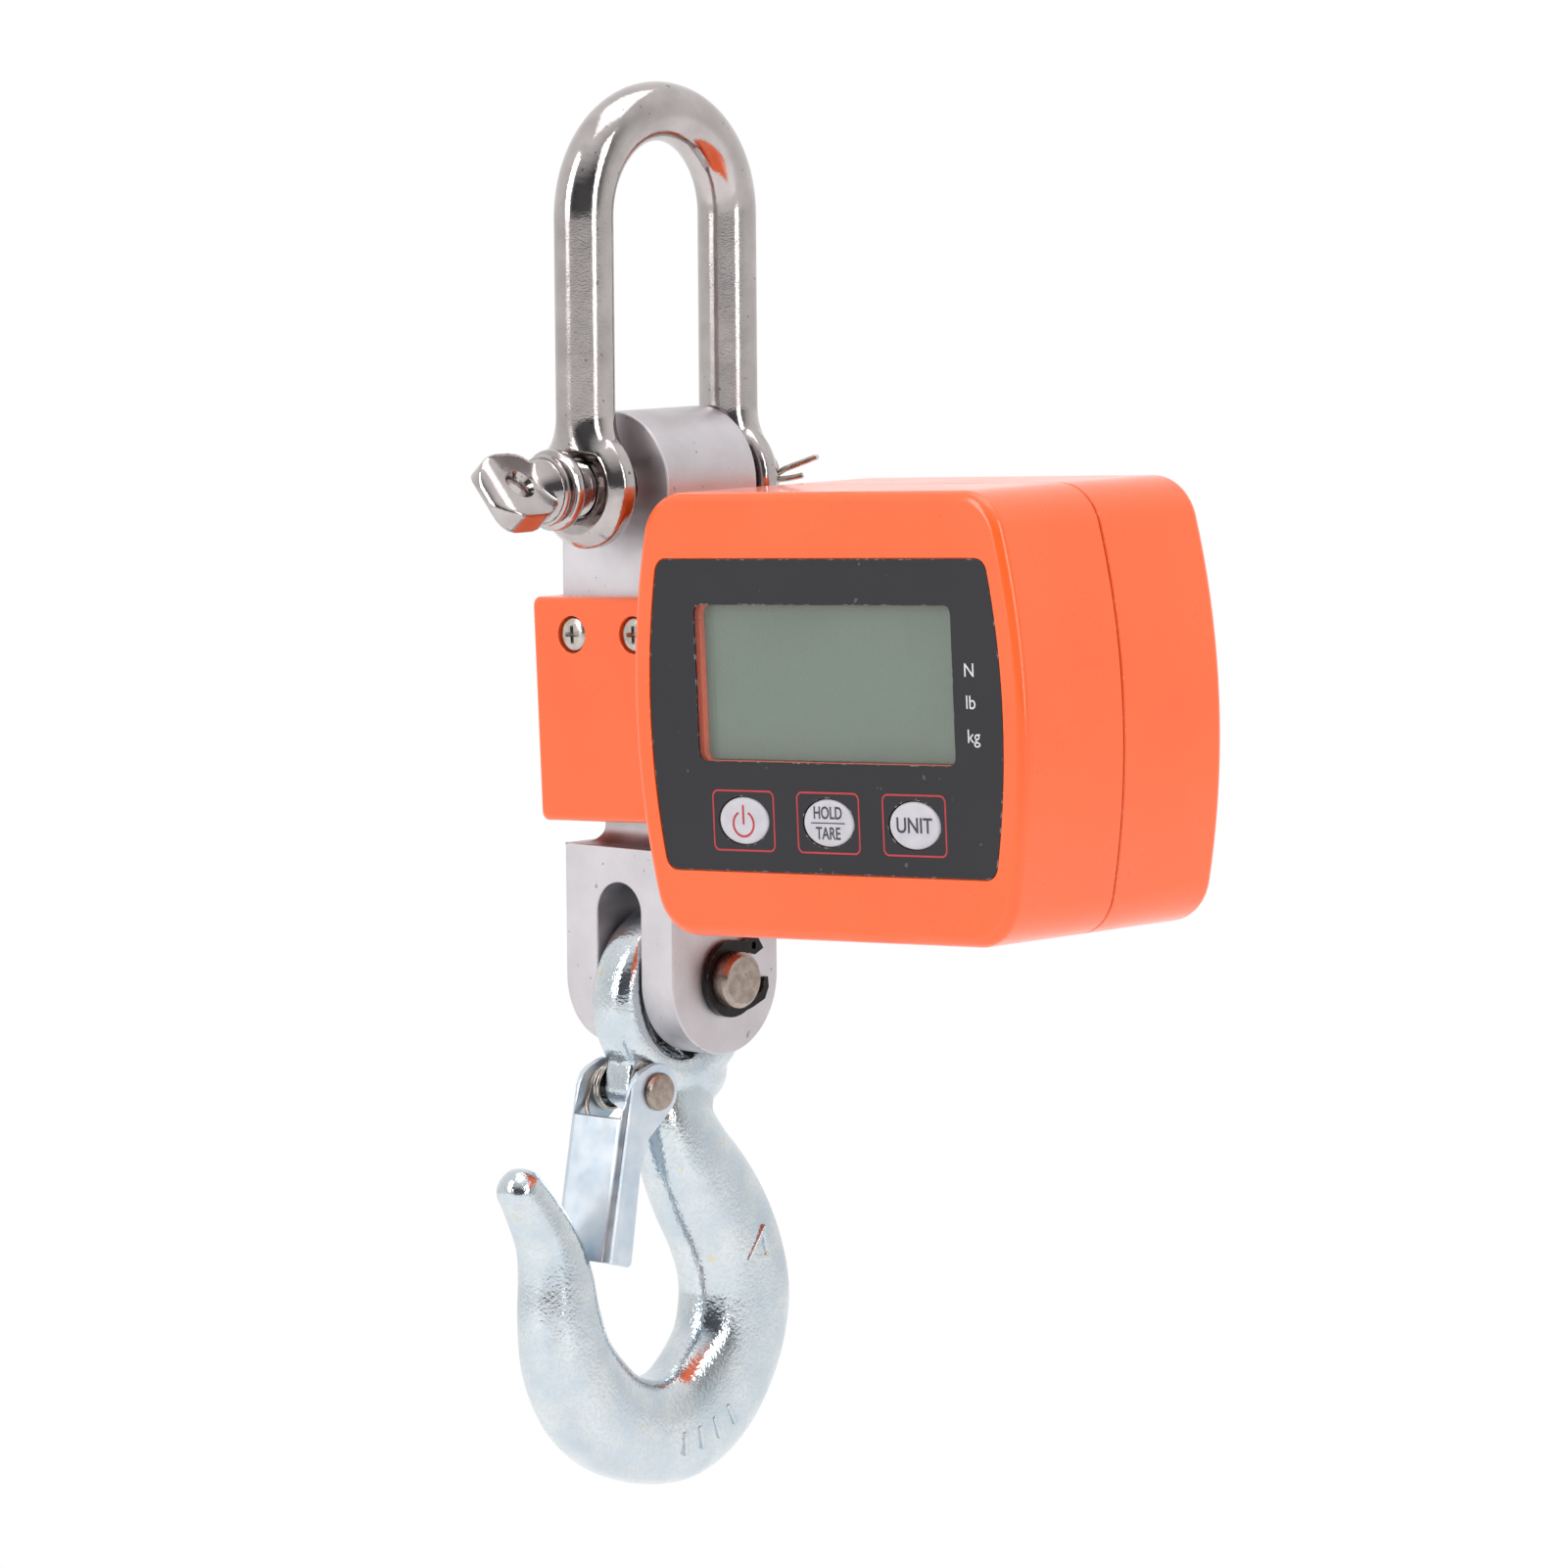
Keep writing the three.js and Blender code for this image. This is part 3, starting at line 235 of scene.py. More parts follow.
ORANGE = rgb(252, 103, 38)
# Paler orange for the paint's edges: partly chips in the paint, partly painted highlight.
CHIP_AND_HIGHLIGHT = rgb(255, 205, 172)
# The hollow-corner colours below are painted shade; the edge colours are part wear and part painted
# highlight.
MATERIALS = {
    "stainless": surface(
        "polished_stainless", rgb(194, 187, 185), (0.07, 0.16), 1.0, rgb(178, 171, 170), patch=7.0,
        grain=0.3, bump=0.012, grain_detail=1.0, wave=0.02, wave_size=4.0, painted_hollow_shade=rgb(90, 84, 82),
        specks=rgb(126, 118, 114), speck_size=1.1),
    "steel": surface(
        "plated_steel", rgb(206, 200, 193), (0.16, 0.34), 1.0, rgb(176, 168, 160), patch=2.0, grain=0.3,
        bump=0.006, painted_hollow_shade=rgb(70, 64, 60)),
    "spring_wire": surface(
        "spring_wire", rgb(196, 190, 184), (0.14, 0.26), 1.0, rgb(176, 168, 160), patch=3.0, grain=0.3,
        bump=0.002),
    "pin_steel": surface(
        "drawn_steel", rgb(176, 162, 152), (0.22, 0.42), 1.0, rgb(150, 136, 126), patch=1.6, grain=0.25,
        bump=0.01, edge=rgb(235, 230, 225), specks=rgb(90, 80, 72), speck_size=0.9),
    "zinc": surface(
        "zinc_forging", rgb(216, 222, 224), (0.11, 0.20), 1.0, rgb(196, 208, 216), patch=7.0, grain=0.62,
        bump=0.075, grain_detail=1.2, wave=0.08, wave_size=5.0, painted_hollow_shade=rgb(120, 124, 124),
        specks=rgb(216, 206, 184), speck_size=3.0, mottle=rgb(196, 203, 207)),
    "zinc_sheet": surface(
        "zinc_sheet", rgb(220, 226, 232), (0.30, 0.44), 1.0, rgb(196, 210, 222), patch=6.0, grain=0.5,
        bump=0.008, wave=0.04, wave_size=5.0, edge=rgb(244, 246, 248), stretch=(1.0, 1.0, 0.15)),
    "aluminium": surface(
        "blasted_aluminium", rgb(212, 208, 211), (0.40, 0.54), 1.0, rgb(202, 198, 201), patch=8.0,
        grain=0.22, bump=0.008, edge=rgb(240, 240, 242), edge_width=0.25, specks=rgb(164, 160, 163),
        speck_size=1.5, mottle=rgb(198, 195, 198)),
    "paint": surface(
        "orange_paint", ORANGE, (0.24, 0.36), 0.0, rgb(250, 99, 34), patch=30.0, grain=1.1, bump=0.003,
        wave=0.02, wave_size=9.0, coat=0.5, edge=CHIP_AND_HIGHLIGHT, edge_width=0.2, wear_and_highlight_share=(0.58, 0.66)),
    "panel": surface(
        "panel_film", rgb(41, 40, 45), (0.38, 0.46), 0.0, rgb(38, 37, 42), patch=30.0, grain=0.25,
        bump=0.001, specks=rgb(84, 83, 88), speck_size=2.1, edge=rgb(186, 184, 184), edge_width=0.3,
        wear_and_highlight_share=(0.56, 0.62), specular=0.3),
    "keycap": surface(
        "key_plastic", rgb(203, 200, 206), (0.36, 0.48), 0.0, rgb(194, 191, 198), patch=3.0, grain=0.3,
        bump=0.004),
    "screen": surface(
        "display_glass", rgb(99, 116, 101), (0.12, 0.2), 0.0, rgb(94, 110, 96), patch=40.0, grain=2.0,
        bump=0.00004, specks=rgb(124, 138, 122), speck_size=1.4),
    "window": surface(
        "clear_window", rgb(235, 240, 236), (0.04, 0.08), 0.0, rgb(230, 236, 232), patch=12.0, grain=1.0,
        bump=0.0005, alpha=0.06),
    "black": surface(
        "moulded_black", rgb(34, 33, 35), (0.42, 0.6), 0.0, rgb(28, 27, 29), patch=4.0, grain=0.45,
        bump=0.02, edge=rgb(78, 77, 80)),
    "clip": surface(
        "blackened_steel", rgb(44, 41, 41), (0.25, 0.42), 0.7, rgb(34, 31, 31), patch=2.0, grain=0.3,
        bump=0.008, edge=rgb(150, 140, 134), edge_width=0.2),
    "rubber": surface(
        "black_rubber", rgb(30, 30, 31), (0.65, 0.85), 0.0, rgb(24, 24, 25), patch=2.0, grain=0.3,
        bump=0.02),
    "board": surface(
        "circuit_board", rgb(32, 96, 52), (0.3, 0.45), 0.0, rgb(26, 82, 44), patch=2.0, grain=0.6,
        bump=0.02, specks=rgb(190, 178, 120), speck_size=1.3, coat=0.2),
    "cell_wrap": surface(
        "cell_wrap", rgb(58, 86, 132), (0.25, 0.4), 0.2, rgb(52, 78, 122), patch=6.0, grain=0.5,
        bump=0.004, edge=rgb(150, 150, 152)),
    "print_red": surface(
        "red_print", rgb(190, 46, 52), (0.4, 0.5), 0.0, rgb(178, 42, 50), patch=2.0, grain=0.2,
        bump=0.001),
    "print_white": surface(
        "white_print", rgb(226, 226, 228), (0.4, 0.5), 0.0, rgb(212, 212, 216), patch=1.0, grain=0.2,
        bump=0.001),
    "print_dark": surface(
        "dark_print", rgb(58, 58, 64), (0.4, 0.5), 0.0, rgb(50, 50, 56), patch=1.0, grain=0.2, bump=0.001),
}


# ---- From points to pieces ----

hinge = joints["battery_door_hinge"]["axis"]
TILT = math.atan2(hinge[2], hinge[0])
TILT_CENTRE_Z = -28.0
SQUARE, TURNED, ON_SHACKLE = "square", "turned", "on_shackle"
# Half length of a tool that cuts right through the bar or a clip
THROUGH = 20


def to_frame(points, setting):
    """Millimetres to metres in the part's frame.

    Turned pieces tilt with the housing, and pieces on the shackle stand off the bar's middle.
    """
    points = np.array(points, float)
    if setting == TURNED:
        rise = points[:, 2] - TILT_CENTRE_Z
        x = points[:, 0] * math.cos(TILT) - rise * math.sin(TILT)
        z = TILT_CENTRE_Z + points[:, 0] * math.sin(TILT) + rise * math.cos(TILT)
        points = np.column_stack([x, points[:, 1], z])
    shift = 0 if setting == ON_SHACKLE else BAR_SHIFT
    return (points + (0, shift, -CROWN)) * MM


class Shape:
    """A closed mesh as points and faces, still in millimetres."""

    def __init__(self, points, faces):
        self.points = [tuple(point) for point in points]
        self.faces = [tuple(face) for face in faces]

    def __add__(self, other):
        shift = len(self.points)
        faces = [tuple(corner + shift for corner in face) for face in other.faces]
        return Shape(self.points + other.points, self.faces + faces)

    def changed(self, change):
        return Shape([change(point) for point in self.points], self.faces)


def loft(rings, ring_of_rings=False):
    """A skin over rings with equal point counts: flat ends, or joined last to first."""
    count = len(rings[0])
    points = [point for ring in rings for point in ring]
    spans = len(rings) if ring_of_rings else len(rings) - 1
    faces = []
    for level in range(spans):
        near = level * count
        far = ((level + 1) % len(rings)) * count
        for i in range(count):
            j = (i + 1) % count
            faces.append((near + i, near + j, far + j, far + i))
    if not ring_of_rings:
        faces.append(tuple(range(count)))
        faces.append(tuple(reversed(range(len(points) - count, len(points)))))
    return Shape(points, faces)


def on_axis(axis, u, v, along):
    """A point from two coordinates across an axis and one along it."""
    return {"x": (along, u, v), "y": (u, along, v), "z": (u, v, along)}[axis]


def prism(outline, axis, low, high):
    return loft([[on_axis(axis, u, v, along) for u, v in outline] for along in (low, high)])


def lathe(profile, axis, centre=(0, 0, 0), segments=72):
    """Solid of revolution. Profile rows are (radius, distance along the axis)."""
    rings = []
    for radius, along in profile:
        turns = (TAU * i / segments for i in range(segments))
        rings.append([on_axis(axis, radius * math.cos(t), radius * math.sin(t), along) for t in turns])
    closed = profile[0][0] > 0 and profile[-1][0] > 0
    return loft(rings, ring_of_rings=closed).changed(lambda p: tuple(np.add(p, centre)))


def arc(centre_u, centre_v, radius, start, end, steps, radius_v=None):
    """Points on an arc from one angle to another, in degrees, both ends included."""
    angles = np.radians(np.linspace(start, end, steps + 1))
    tall = radius if radius_v is None else radius_v
    return [(centre_u + radius * math.cos(a), centre_v + tall * math.sin(a)) for a in angles]


def rounded(bounds, radius, grow=0.0, steps=8):
    """A rectangle with round corners; bounds are left, right, low and high."""
    left, right, low, high = (edge + way * grow for edge, way in zip(bounds, (-1, 1, -1, 1)))
    return (
        arc(right - radius, high - radius, radius, 90, 0, steps)
        + arc(right - radius, low + radius, radius, 0, -90, steps)
        + arc(left + radius, low + radius, radius, -90, -180, steps)
        + arc(left + radius, high - radius, radius, 180, 90, steps)
    )


def oval(u, v, half_u, half_v, steps=56):
    return arc(u, v, half_u, 0, 360 - 360 / steps, steps - 1, half_v)


def rectangle(half_u, half_v):
    return [(-half_u, -half_v), (half_u, -half_v), (half_u, half_v), (-half_u, half_v)]


def at_depth(outline, y):
    """An outline of x, z pairs as a ring of points at one depth."""
    return [(x, y, z) for x, z in outline]


def round_rim(face, inward, fillet, steps):
    """Rows of depth and inset that round the rim of a face."""
    turns = np.linspace(0, math.pi / 2, steps)
    return [(face + inward * fillet * (1 - math.cos(a)), fillet * (1 - math.sin(a))) for a in turns]


def block(x_range, y_range, z_range):
    left, right = x_range
    low, high = z_range
    return prism([(left, low), (right, low), (right, high), (left, high)], "y", *y_range)


def smooth_line(points, steps):
    """Points evenly spread over a Catmull-Rom line through the given points."""
    rows = np.array(points, float)
    padded = np.vstack([2 * rows[0] - rows[1], rows, 2 * rows[-1] - rows[-2]])
    result = []
    for at in np.linspace(0, len(rows) - 1, steps + 1):
        i = min(int(at), len(rows) - 2)
        t = at - i
        a, b, c, d = padded[i:i + 4]
        bend = (2 * a - 5 * b + 4 * c - d) * t**2 + (3 * b - a - 3 * c + d) * t**3
        result.append(0.5 * (2 * b + (c - a) * t + bend))
    return np.array(result)


def wire(points, radius, steps, sides=14):
    """A round wire along a smooth line through the points, with rounded-off ends."""
    line = smooth_line(points, steps)
    tangents = np.gradient(line, axis=0)
    tangents /= np.linalg.norm(tangents, axis=1)[:, None]
    across = np.cross(tangents[0], (0.3, 0.5, 0.8))
    rings = []
    for i, (place, ahead) in enumerate(zip(line, tangents)):
        across = across - ahead * np.dot(across, ahead)
        across /= np.linalg.norm(across)
        other = np.cross(ahead, across)
        size = radius * (0.6 if i in (0, len(line) - 1) else 1.0)
        turns = (TAU * k / sides for k in range(sides))
        rings.append([tuple(place + size * (across * math.cos(t) + other * math.sin(t))) for t in turns])
    return loft(rings)


def raw_object(shape, name, setting=SQUARE):
    mesh = bpy.data.meshes.new(name)
    mesh.from_pydata(to_frame(shape.points, setting).tolist(), [], shape.faces)
    work = bmesh.new()
    work.from_mesh(mesh)
    bmesh.ops.remove_doubles(work, verts=work.verts, dist=1e-7)
    bmesh.ops.recalc_face_normals(work, faces=work.faces)
    work.to_mesh(mesh)
    work.free()
    thing = bpy.data.objects.new(name, mesh)
    scene.collection.objects.link(thing)
    return thing


def settle(thing):
    """Applies the object's modifiers to its mesh."""
    seen = thing.evaluated_get(bpy.context.evaluated_depsgraph_get())
    mesh = bpy.data.meshes.new_from_object(seen)
    thing.modifiers.clear()
    thing.data = mesh


def carve(thing, tools, setting=SQUARE, operation="DIFFERENCE"):
    """Cuts the tools from the object, or joins them to it."""
    helpers = [raw_object(tool, "tool", setting) for tool in tools]
    for helper in helpers:
        step = thing.modifiers.new("step", "BOOLEAN")
        step.operation = operation
        step.solver = "EXACT"
        step.object = helper
    settle(thing)
    for helper in helpers:
        bpy.data.objects.remove(helper)


def soften(thing, width, segments=3, angle=38, clamp=False):
    """Rounds every edge sharper than the angle."""
    step = thing.modifiers.new("edges", "BEVEL")
    step.width = width * MM
    step.segments = segments
    step.angle_limit = math.radians(angle)
    step.use_clamp_overlap = clamp
    settle(thing)


def fuse(thing, voxel, passes):
    """Melts overlapping solids into one skin and smooths where they meet."""
    remesh = thing.modifiers.new("remesh", "REMESH")
    remesh.mode = "VOXEL"
    remesh.voxel_size = voxel * MM
    smooth = thing.modifiers.new("smooth", "SMOOTH")
    smooth.factor = 0.5
    smooth.iterations = passes
    settle(thing)


def finish_piece(thing, material, nodes=(), body="scale", sharp=32, weighted=True):
    """Shading, material, body, slot and the CAD nodes the piece stands for."""
    mesh = thing.data
    mesh.materials.clear()
    mesh.materials.append(MATERIALS[material])
    mesh.shade_smooth()
    if sharp:
        mesh.set_sharp_from_angle(angle=math.radians(sharp))
    if weighted:
        step = thing.modifiers.new("normals", "WEIGHTED_NORMAL")
        step.keep_sharp = True
        settle(thing)
    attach(thing, body)
    if nodes:
        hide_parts(*nodes)
    return thing


# ---- Shackle bow ----

ROD = 5.25
LEG_Y = 18.3
EAR_IN, EAR_OUT, EAR_RADIUS = 16.05, 21.7, 10.75
PIN = 5.0


def bow_ring(y, z, normal, half_across, sides=40):
    ring = []
    for i in range(sides):
        turn = TAU * i / sides
        reach = ROD * math.cos(turn)
        ring.append((half_across * math.sin(turn), y + normal[0] * reach, z + normal[1] * reach))
    return ring


def build_bow():
    arch_z = CROWN + ROD - LEG_Y
    flare_top, flare_end = 12.5, 6.2
    rings = []

    def leg(side, heights):
        for z in heights:
            widen = max(0.0, (flare_top - z) / (flare_top - flare_end))
            rings.append(bow_ring(side * LEG_Y, z, (side, 0), ROD + 2.9 * widen**2))

    heights = list(np.linspace(flare_end, flare_top, 8)) + list(np.linspace(18, arch_z - 3, 6))
    leg(-1, heights)
    for turn in np.linspace(math.pi, 0, 49):
        normal = (math.cos(turn), math.sin(turn))
        rings.append(bow_ring(LEG_Y * normal[0], arch_z + LEG_Y * normal[1], normal, ROD))
    leg(1, heights[::-1])
    shape = loft(rings)
    for side in (-1, 1):
        profile = [
            (PIN + 0.3, EAR_IN + 0.4), (PIN + 0.8, EAR_IN), (EAR_RADIUS - 0.7, EAR_IN),
            (EAR_RADIUS, EAR_IN + 0.9), (EAR_RADIUS, EAR_OUT - 2.4), (EAR_RADIUS - 1.5, EAR_OUT - 0.4),
            (EAR_RADIUS - 2.2, EAR_OUT), (PIN + 0.9, EAR_OUT), (PIN + 0.3, EAR_OUT - 0.6),
        ]
        shape += lathe([(radius, side * along) for radius, along in profile], "y")
    bow = raw_object(shape, "shackle_bow_forging", ON_SHACKLE)
    fuse(bow, 0.34, 3)
    finish_piece(bow, "stainless", ["shackle_bow"], body="shackle", sharp=None, weighted=False)


# ---- Shackle pin and split pin ----

TAB_TURN = math.radians(41)


def turned_tab(point):
    """Turns a point about the pin's axis, from a plate facing +X to the thumb tab's lie."""
    x, y, z = point
    return (
        x * math.cos(TAB_TURN) - z * math.sin(TAB_TURN), y,
        x * math.sin(TAB_TURN) + z * math.cos(TAB_TURN),
    )


def build_shackle_pin():
    tab_half, tab_end, tab_root, hole_y, tab_thick = 6.95, -43.7, -29.8, -36.9, 2.6
    face_outline = rounded((tab_end, tab_root, -tab_half, tab_half), 5.2)
    end_outline = arc(0, tab_end + 4.6, tab_thick, 360, 180, 20, 4.6) + [(-tab_thick, -20), (tab_thick, -20)]
    grip = raw_object(prism(face_outline, "x", -9, 9).changed(turned_tab), "pin_thumb_tab", ON_SHACKLE)
    carve(grip, [prism(end_outline, "z", -12, 12).changed(turned_tab)], ON_SHACKLE, "INTERSECT")
    neck = lathe([
        (0, -33.6), (1.6, -33.4), (2.7, -32.7), (3.6, -31.8), (4.6, -30.8), (5.6, -29.8), (6.0, -29.4),
        (0, -29.0),
    ], "y")
    carve(grip, [neck], ON_SHACKLE, "UNION")
    fuse(grip, 0.24, 26)
    rim, bore = 3.0, 2.3
    half = tab_thick - 0.1
    levels = [
        (-6, rim), (-half - 0.1, rim), (-half + 0.5, bore), (half - 0.5, bore), (half + 0.1, rim), (6, rim),
    ]
    hole = loft([[(x, y, z) for y, z in oval(hole_y, 0, radius, radius, 40)] for x, radius in levels])
    carve(grip, [hole.changed(turned_tab)], ON_SHACKLE)
    finish_piece(grip, "stainless", body="shackle", sharp=50, weighted=False)

    shank_end = 27.0
    profile = [
        (0, -29.6), (5.9, -29.6), (6.2, -29.3), (6.3, -28.9), (6.2, -28.5), (5.9, -28.25), (5.5, -28.1),
        (5.5, -27.9), (6.3, -27.75), (6.9, -27.6), (7.15, -27.2), (7.2, -26.6), (7.15, -26.0), (6.9, -25.6),
        (6.4, -25.4), (4.9, -25.3),
    ]
    for along in np.arange(-25.1, -21.2, 0.55):
        profile += [(4.5, along), (4.95, along + 0.275)]
    profile += [
        (PIN, -20.6), (PIN, shank_end - 0.9), (PIN - 0.25, shank_end - 0.35), (PIN - 0.9, shank_end),
        (0.6, shank_end), (0, shank_end - 0.5),
    ]
    shank = raw_object(lathe(profile, "y", segments=96), "pin_shank", ON_SHACKLE)
    carve(shank, [prism(oval(SPLIT_Y, 0, 1.25, 1.25, 24), "x", -8, 8)], ON_SHACKLE)
    finish_piece(shank, "stainless", ["shackle_pin"], body="shackle", sharp=28)


SPLIT_WIRE = 0.55
SPLIT_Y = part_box("split_pin")[0].y / MM + SPLIT_WIRE


def build_split_pin():
    """A wire folded in two, with an eye and two splayed prongs. Rows: x, y off the hole, z."""
    half = 0.54
    rows = [
        (12.9, 3.7, 3.7), (10.6, 1.9, 2.6), (8.0, 0.5, 1.5), (5.6, 0.1, half), (0, 0, half), (-5.8, 0, half),
        (-7.2, 0, 1.6), (-9.2, 0, 1.7), (-10.4, 0, 0), (-9.2, 0, -1.7), (-7.2, 0, -1.6), (-5.8, 0, -half),
        (0, 0, -half), (5.6, 0, -half), (8.0, 0.9, -0.3), (9.4, 1.7, 0.0), (10.4, 2.4, 0.3),
    ]
    points = [(x, SPLIT_Y + off, z) for x, off, z in rows]
    pin = raw_object(wire(points, SPLIT_WIRE, 160), "split_pin_wire", ON_SHACKLE)
    finish_piece(pin, "steel", ["split_pin"], body="shackle", sharp=60, weighted=False)


# ---- Load cell ----

BAR_X, BAR_Y = 13.1, 13.6
LUG_BACK, LUG_FOOT = 9.2, -15.0
NECK_X, NECK_Y, NECK_TOP, NECK_BOTTOM, NECK_FILLET = 8.1, 8.6, -34.0, -61.2, 3.0
HOOK_PIN_Z = sum(corner.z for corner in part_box("hook_pin")) / 2 / MM + CROWN


def necked(half_block, half_neck, side):
    """One side of the bar from the upper block to the lower block."""
    centre = half_neck + NECK_FILLET
    points = [(half_block, NECK_TOP + NECK_FILLET)]
    points += arc(centre, NECK_TOP, NECK_FILLET, 90, 180, 8)
    points += arc(centre, NECK_BOTTOM, NECK_FILLET, 180, 270, 8)
    points += [(half_block, NECK_BOTTOM - NECK_FILLET)]
    return points if side > 0 else [(-u, v) for u, v in reversed(points)]


def build_load_cell():
    lowest = HOOK_PIN_Z - BAR_Y
    front_view = arc(0, 0, BAR_X, 180, 0, 48) + necked(BAR_X, NECK_X, 1)
    front_view += [(BAR_X, lowest - 1), (-BAR_X, lowest - 1)] + necked(BAR_X, NECK_X, -1)
    side_view = [(-BAR_Y, BAR_X + 1), (BAR_Y, BAR_X + 1)] + necked(BAR_Y, NECK_Y, 1)
    side_view += arc(0, HOOK_PIN_Z, BAR_Y, 0, -180, 48) + necked(BAR_Y, NECK_Y, -1)
    bar = raw_object(prism(front_view, "y", -BAR_Y, BAR_Y), "load_cell_bar")
    carve(bar, [prism(side_view, "x", -BAR_X - 1, BAR_X + 1)], operation="INTERSECT")
    slot_half, slot_top = 5.3, -70.5
    slot_outline = arc(0, slot_top - slot_half, slot_half, 180, 0, 32)
    slot_outline += [(slot_half, lowest - 2), (-slot_half, lowest - 2)]
    carve(bar, [
        prism(slot_outline, "y", -THROUGH, THROUGH),
        block((-THROUGH, THROUGH), (LUG_BACK, THROUGH), (LUG_FOOT, THROUGH)),
        prism(oval(0, 0, PIN + 0.4, PIN + 0.4), "y", -THROUGH, THROUGH),
        prism(oval(0, HOOK_PIN_Z, PIN + 0.15, PIN + 0.15), "x", -THROUGH, THROUGH),
    ])
    soften(bar, 0.35)
    finish_piece(bar, "aluminium", ["load_cell"])


# ---- Cover and its screws ----

COVER = (-17.2, 16.3, -59.4, -19.5)
COVER_Y = 17.1
SCREW_X, SCREW_Z = 7.5, -26.2


def build_cover(face, name):
    gap = 0.15
    fillet, corner = 1.1, 1.3
    levels = round_rim(COVER_Y, -1, fillet, 7) + [(gap + 0.15, 0), (gap, 0.15)]
    rings = [at_depth(rounded(COVER, corner, -inset), face * along) for along, inset in levels]
    cover = raw_object(loft(rings), name, TURNED)
    mouth = rectangle(14.0, BAR_Y + 0.3)
    carve(cover, [prism(mouth, "z", COVER[2] - 1, COVER[3] + 1)], TURNED)
    tools = []
    for side in (-1, 1):
        for radius, depth in ((3.3, COVER_Y - 2.1), (1.75, 10.0)):
            start, end = sorted((face * (COVER_Y + 1), face * depth))
            tools.append(prism(oval(side * SCREW_X, SCREW_Z, radius, radius, 48), "y", start, end))
    carve(cover, tools, TURNED)
    soften(cover, 0.16, 2)
    finish_piece(cover, "paint", [name.replace("_shell", "")])


def cross_slot(centre, axis, head, inward, reach=1.6, half=0.38, depth=1.1):
    """A cross recess that narrows downwards into a screw head."""
    u, v = centre
    arms = []
    for half_u, half_v in ((reach, half), (half, reach)):
        top = rounded((u - half_u, u + half_u, v - half_v, v + half_v), half * 0.6, steps=3)
        foot = [(u + (a - u) * 0.55, v + (b - v) * 0.55) for a, b in top]
        levels = [(top, head - inward * 0.3), (top, head + inward * 0.2), (foot, head + inward * depth)]
        arms.append(loft([[on_axis(axis, a, b, along) for a, b in outline] for outline, along in levels]))
    return arms


def build_screw(name, node, centre, head, inward, radius=2.8, height=1.9, length=9.0):
    """A pan-head screw that lies along Y."""
    crown = 0.4
    rows = [
        (0, 0), (radius * 0.6, 0.04), (radius * 0.86, 0.18), (radius * 0.97, crown), (radius, crown + 0.3),
        (radius, height - 0.1), (radius - 0.1, height), (radius * 0.5, height), (radius * 0.5, length),
        (0, length),
    ]
    profile = [(across, head + inward * depth) for across, depth in rows]
    screw = raw_object(lathe(profile, "y", (centre[0], 0, centre[1]), 48), name, TURNED)
    carve(screw, cross_slot(centre, "y", head, inward), TURNED)
    finish_piece(screw, "steel", [node], sharp=30)


# ---- Housing ----

LEFT, RIGHT, TOP, BOTTOM = 16.6, 106.8, -0.8, -77.7
FRONT, SEAM, BACK, SEAM_GAP = -27.5, -1.45, 25.0, 0.15
WALL = 2.4
MID_X, MID_Z = (LEFT + RIGHT) / 2, (TOP + BOTTOM) / 2
BOW, CORNER = 134.6, 9.0
PANEL_TOP, PANEL_BOTTOM, PANEL_INSET, PANEL_CORNER = -12.3, -66.0, 4.6, 2.5
PANEL_FACE, PANEL_THICKNESS, RECESS = -27.35, 0.4, 0.6
SCREEN, SCREEN_CORNER = (32.2, 91.4, -47.1, -20.1), 1.5
KEY_X = [MID_X + 0.2 + place * 19.7 for place in (-1, 0, 1)]
KEY_Z, KEY_HALF_X, KEY_HALF_Z = -57.3, 5.75, 4.05
CAP_FACE = FRONT + 0.05
DOOR = (31.0, 92.0, -64.5, -14.7)
BAY = (33.5, 89.5, -63.0, -16.0)
HOUSING_FILLET = 1.9
POST_X, POST_Z = (MID_X - 31.5, MID_X + 31.5), (MID_Z + 29.0, MID_Z - 29.0)


def bowed(half_width, half_height, bow, corner, middle_z=MID_Z, corner_steps=10, side_steps=18):
    """Outline with bowed sides, straight top and bottom and round corners."""
    rise = half_height - corner
    arc_x = half_width - bow
    corner_x = arc_x + math.sqrt((bow - corner) ** 2 - rise**2)
    angle = math.degrees(math.asin(rise / (bow - corner)))
    right = (
        arc(corner_x, rise, corner, 90, angle, corner_steps)
        + arc(arc_x, 0, bow, angle, -angle, side_steps)[1:-1]
        + arc(corner_x, -rise, corner, -angle, -90, corner_steps)
    )
    left = [(-u, v) for u, v in reversed(right)]
    return [(MID_X + u, middle_z + v) for u, v in right + left]


def housing_outline(inset):
    return bowed((RIGHT - LEFT) / 2 - inset, (TOP - BOTTOM) / 2 - inset, BOW - inset, CORNER - inset)


def panel_outline(grow=0.0):
    half_width = (RIGHT - LEFT) / 2 - PANEL_INSET + grow
    half_height = (PANEL_TOP - PANEL_BOTTOM) / 2 + grow
    middle = (PANEL_TOP + PANEL_BOTTOM) / 2
    return bowed(half_width, half_height, BOW - PANEL_INSET + grow, PANEL_CORNER + grow, middle, 8)


def screen_outline(grow=0.0):
    return rounded(SCREEN, SCREEN_CORNER, grow)


def key_outline(x, grow=0.0):
    return oval(x, KEY_Z, KEY_HALF_X + grow, KEY_HALF_Z + grow)


def shell_rings(face_y, seam_y):
    """A cup: a rounded rim on the closed face, a fine chamfer at the seam, then the hollow inside."""
    way = math.copysign(1, seam_y - face_y)
    levels = round_rim(face_y, way, HOUSING_FILLET, 8)
    levels += [(seam_y - way * 0.2, 0), (seam_y, 0.2), (seam_y, WALL), (face_y + way * WALL, WALL)]
    return loft([at_depth(housing_outline(inset), y) for y, inset in levels])


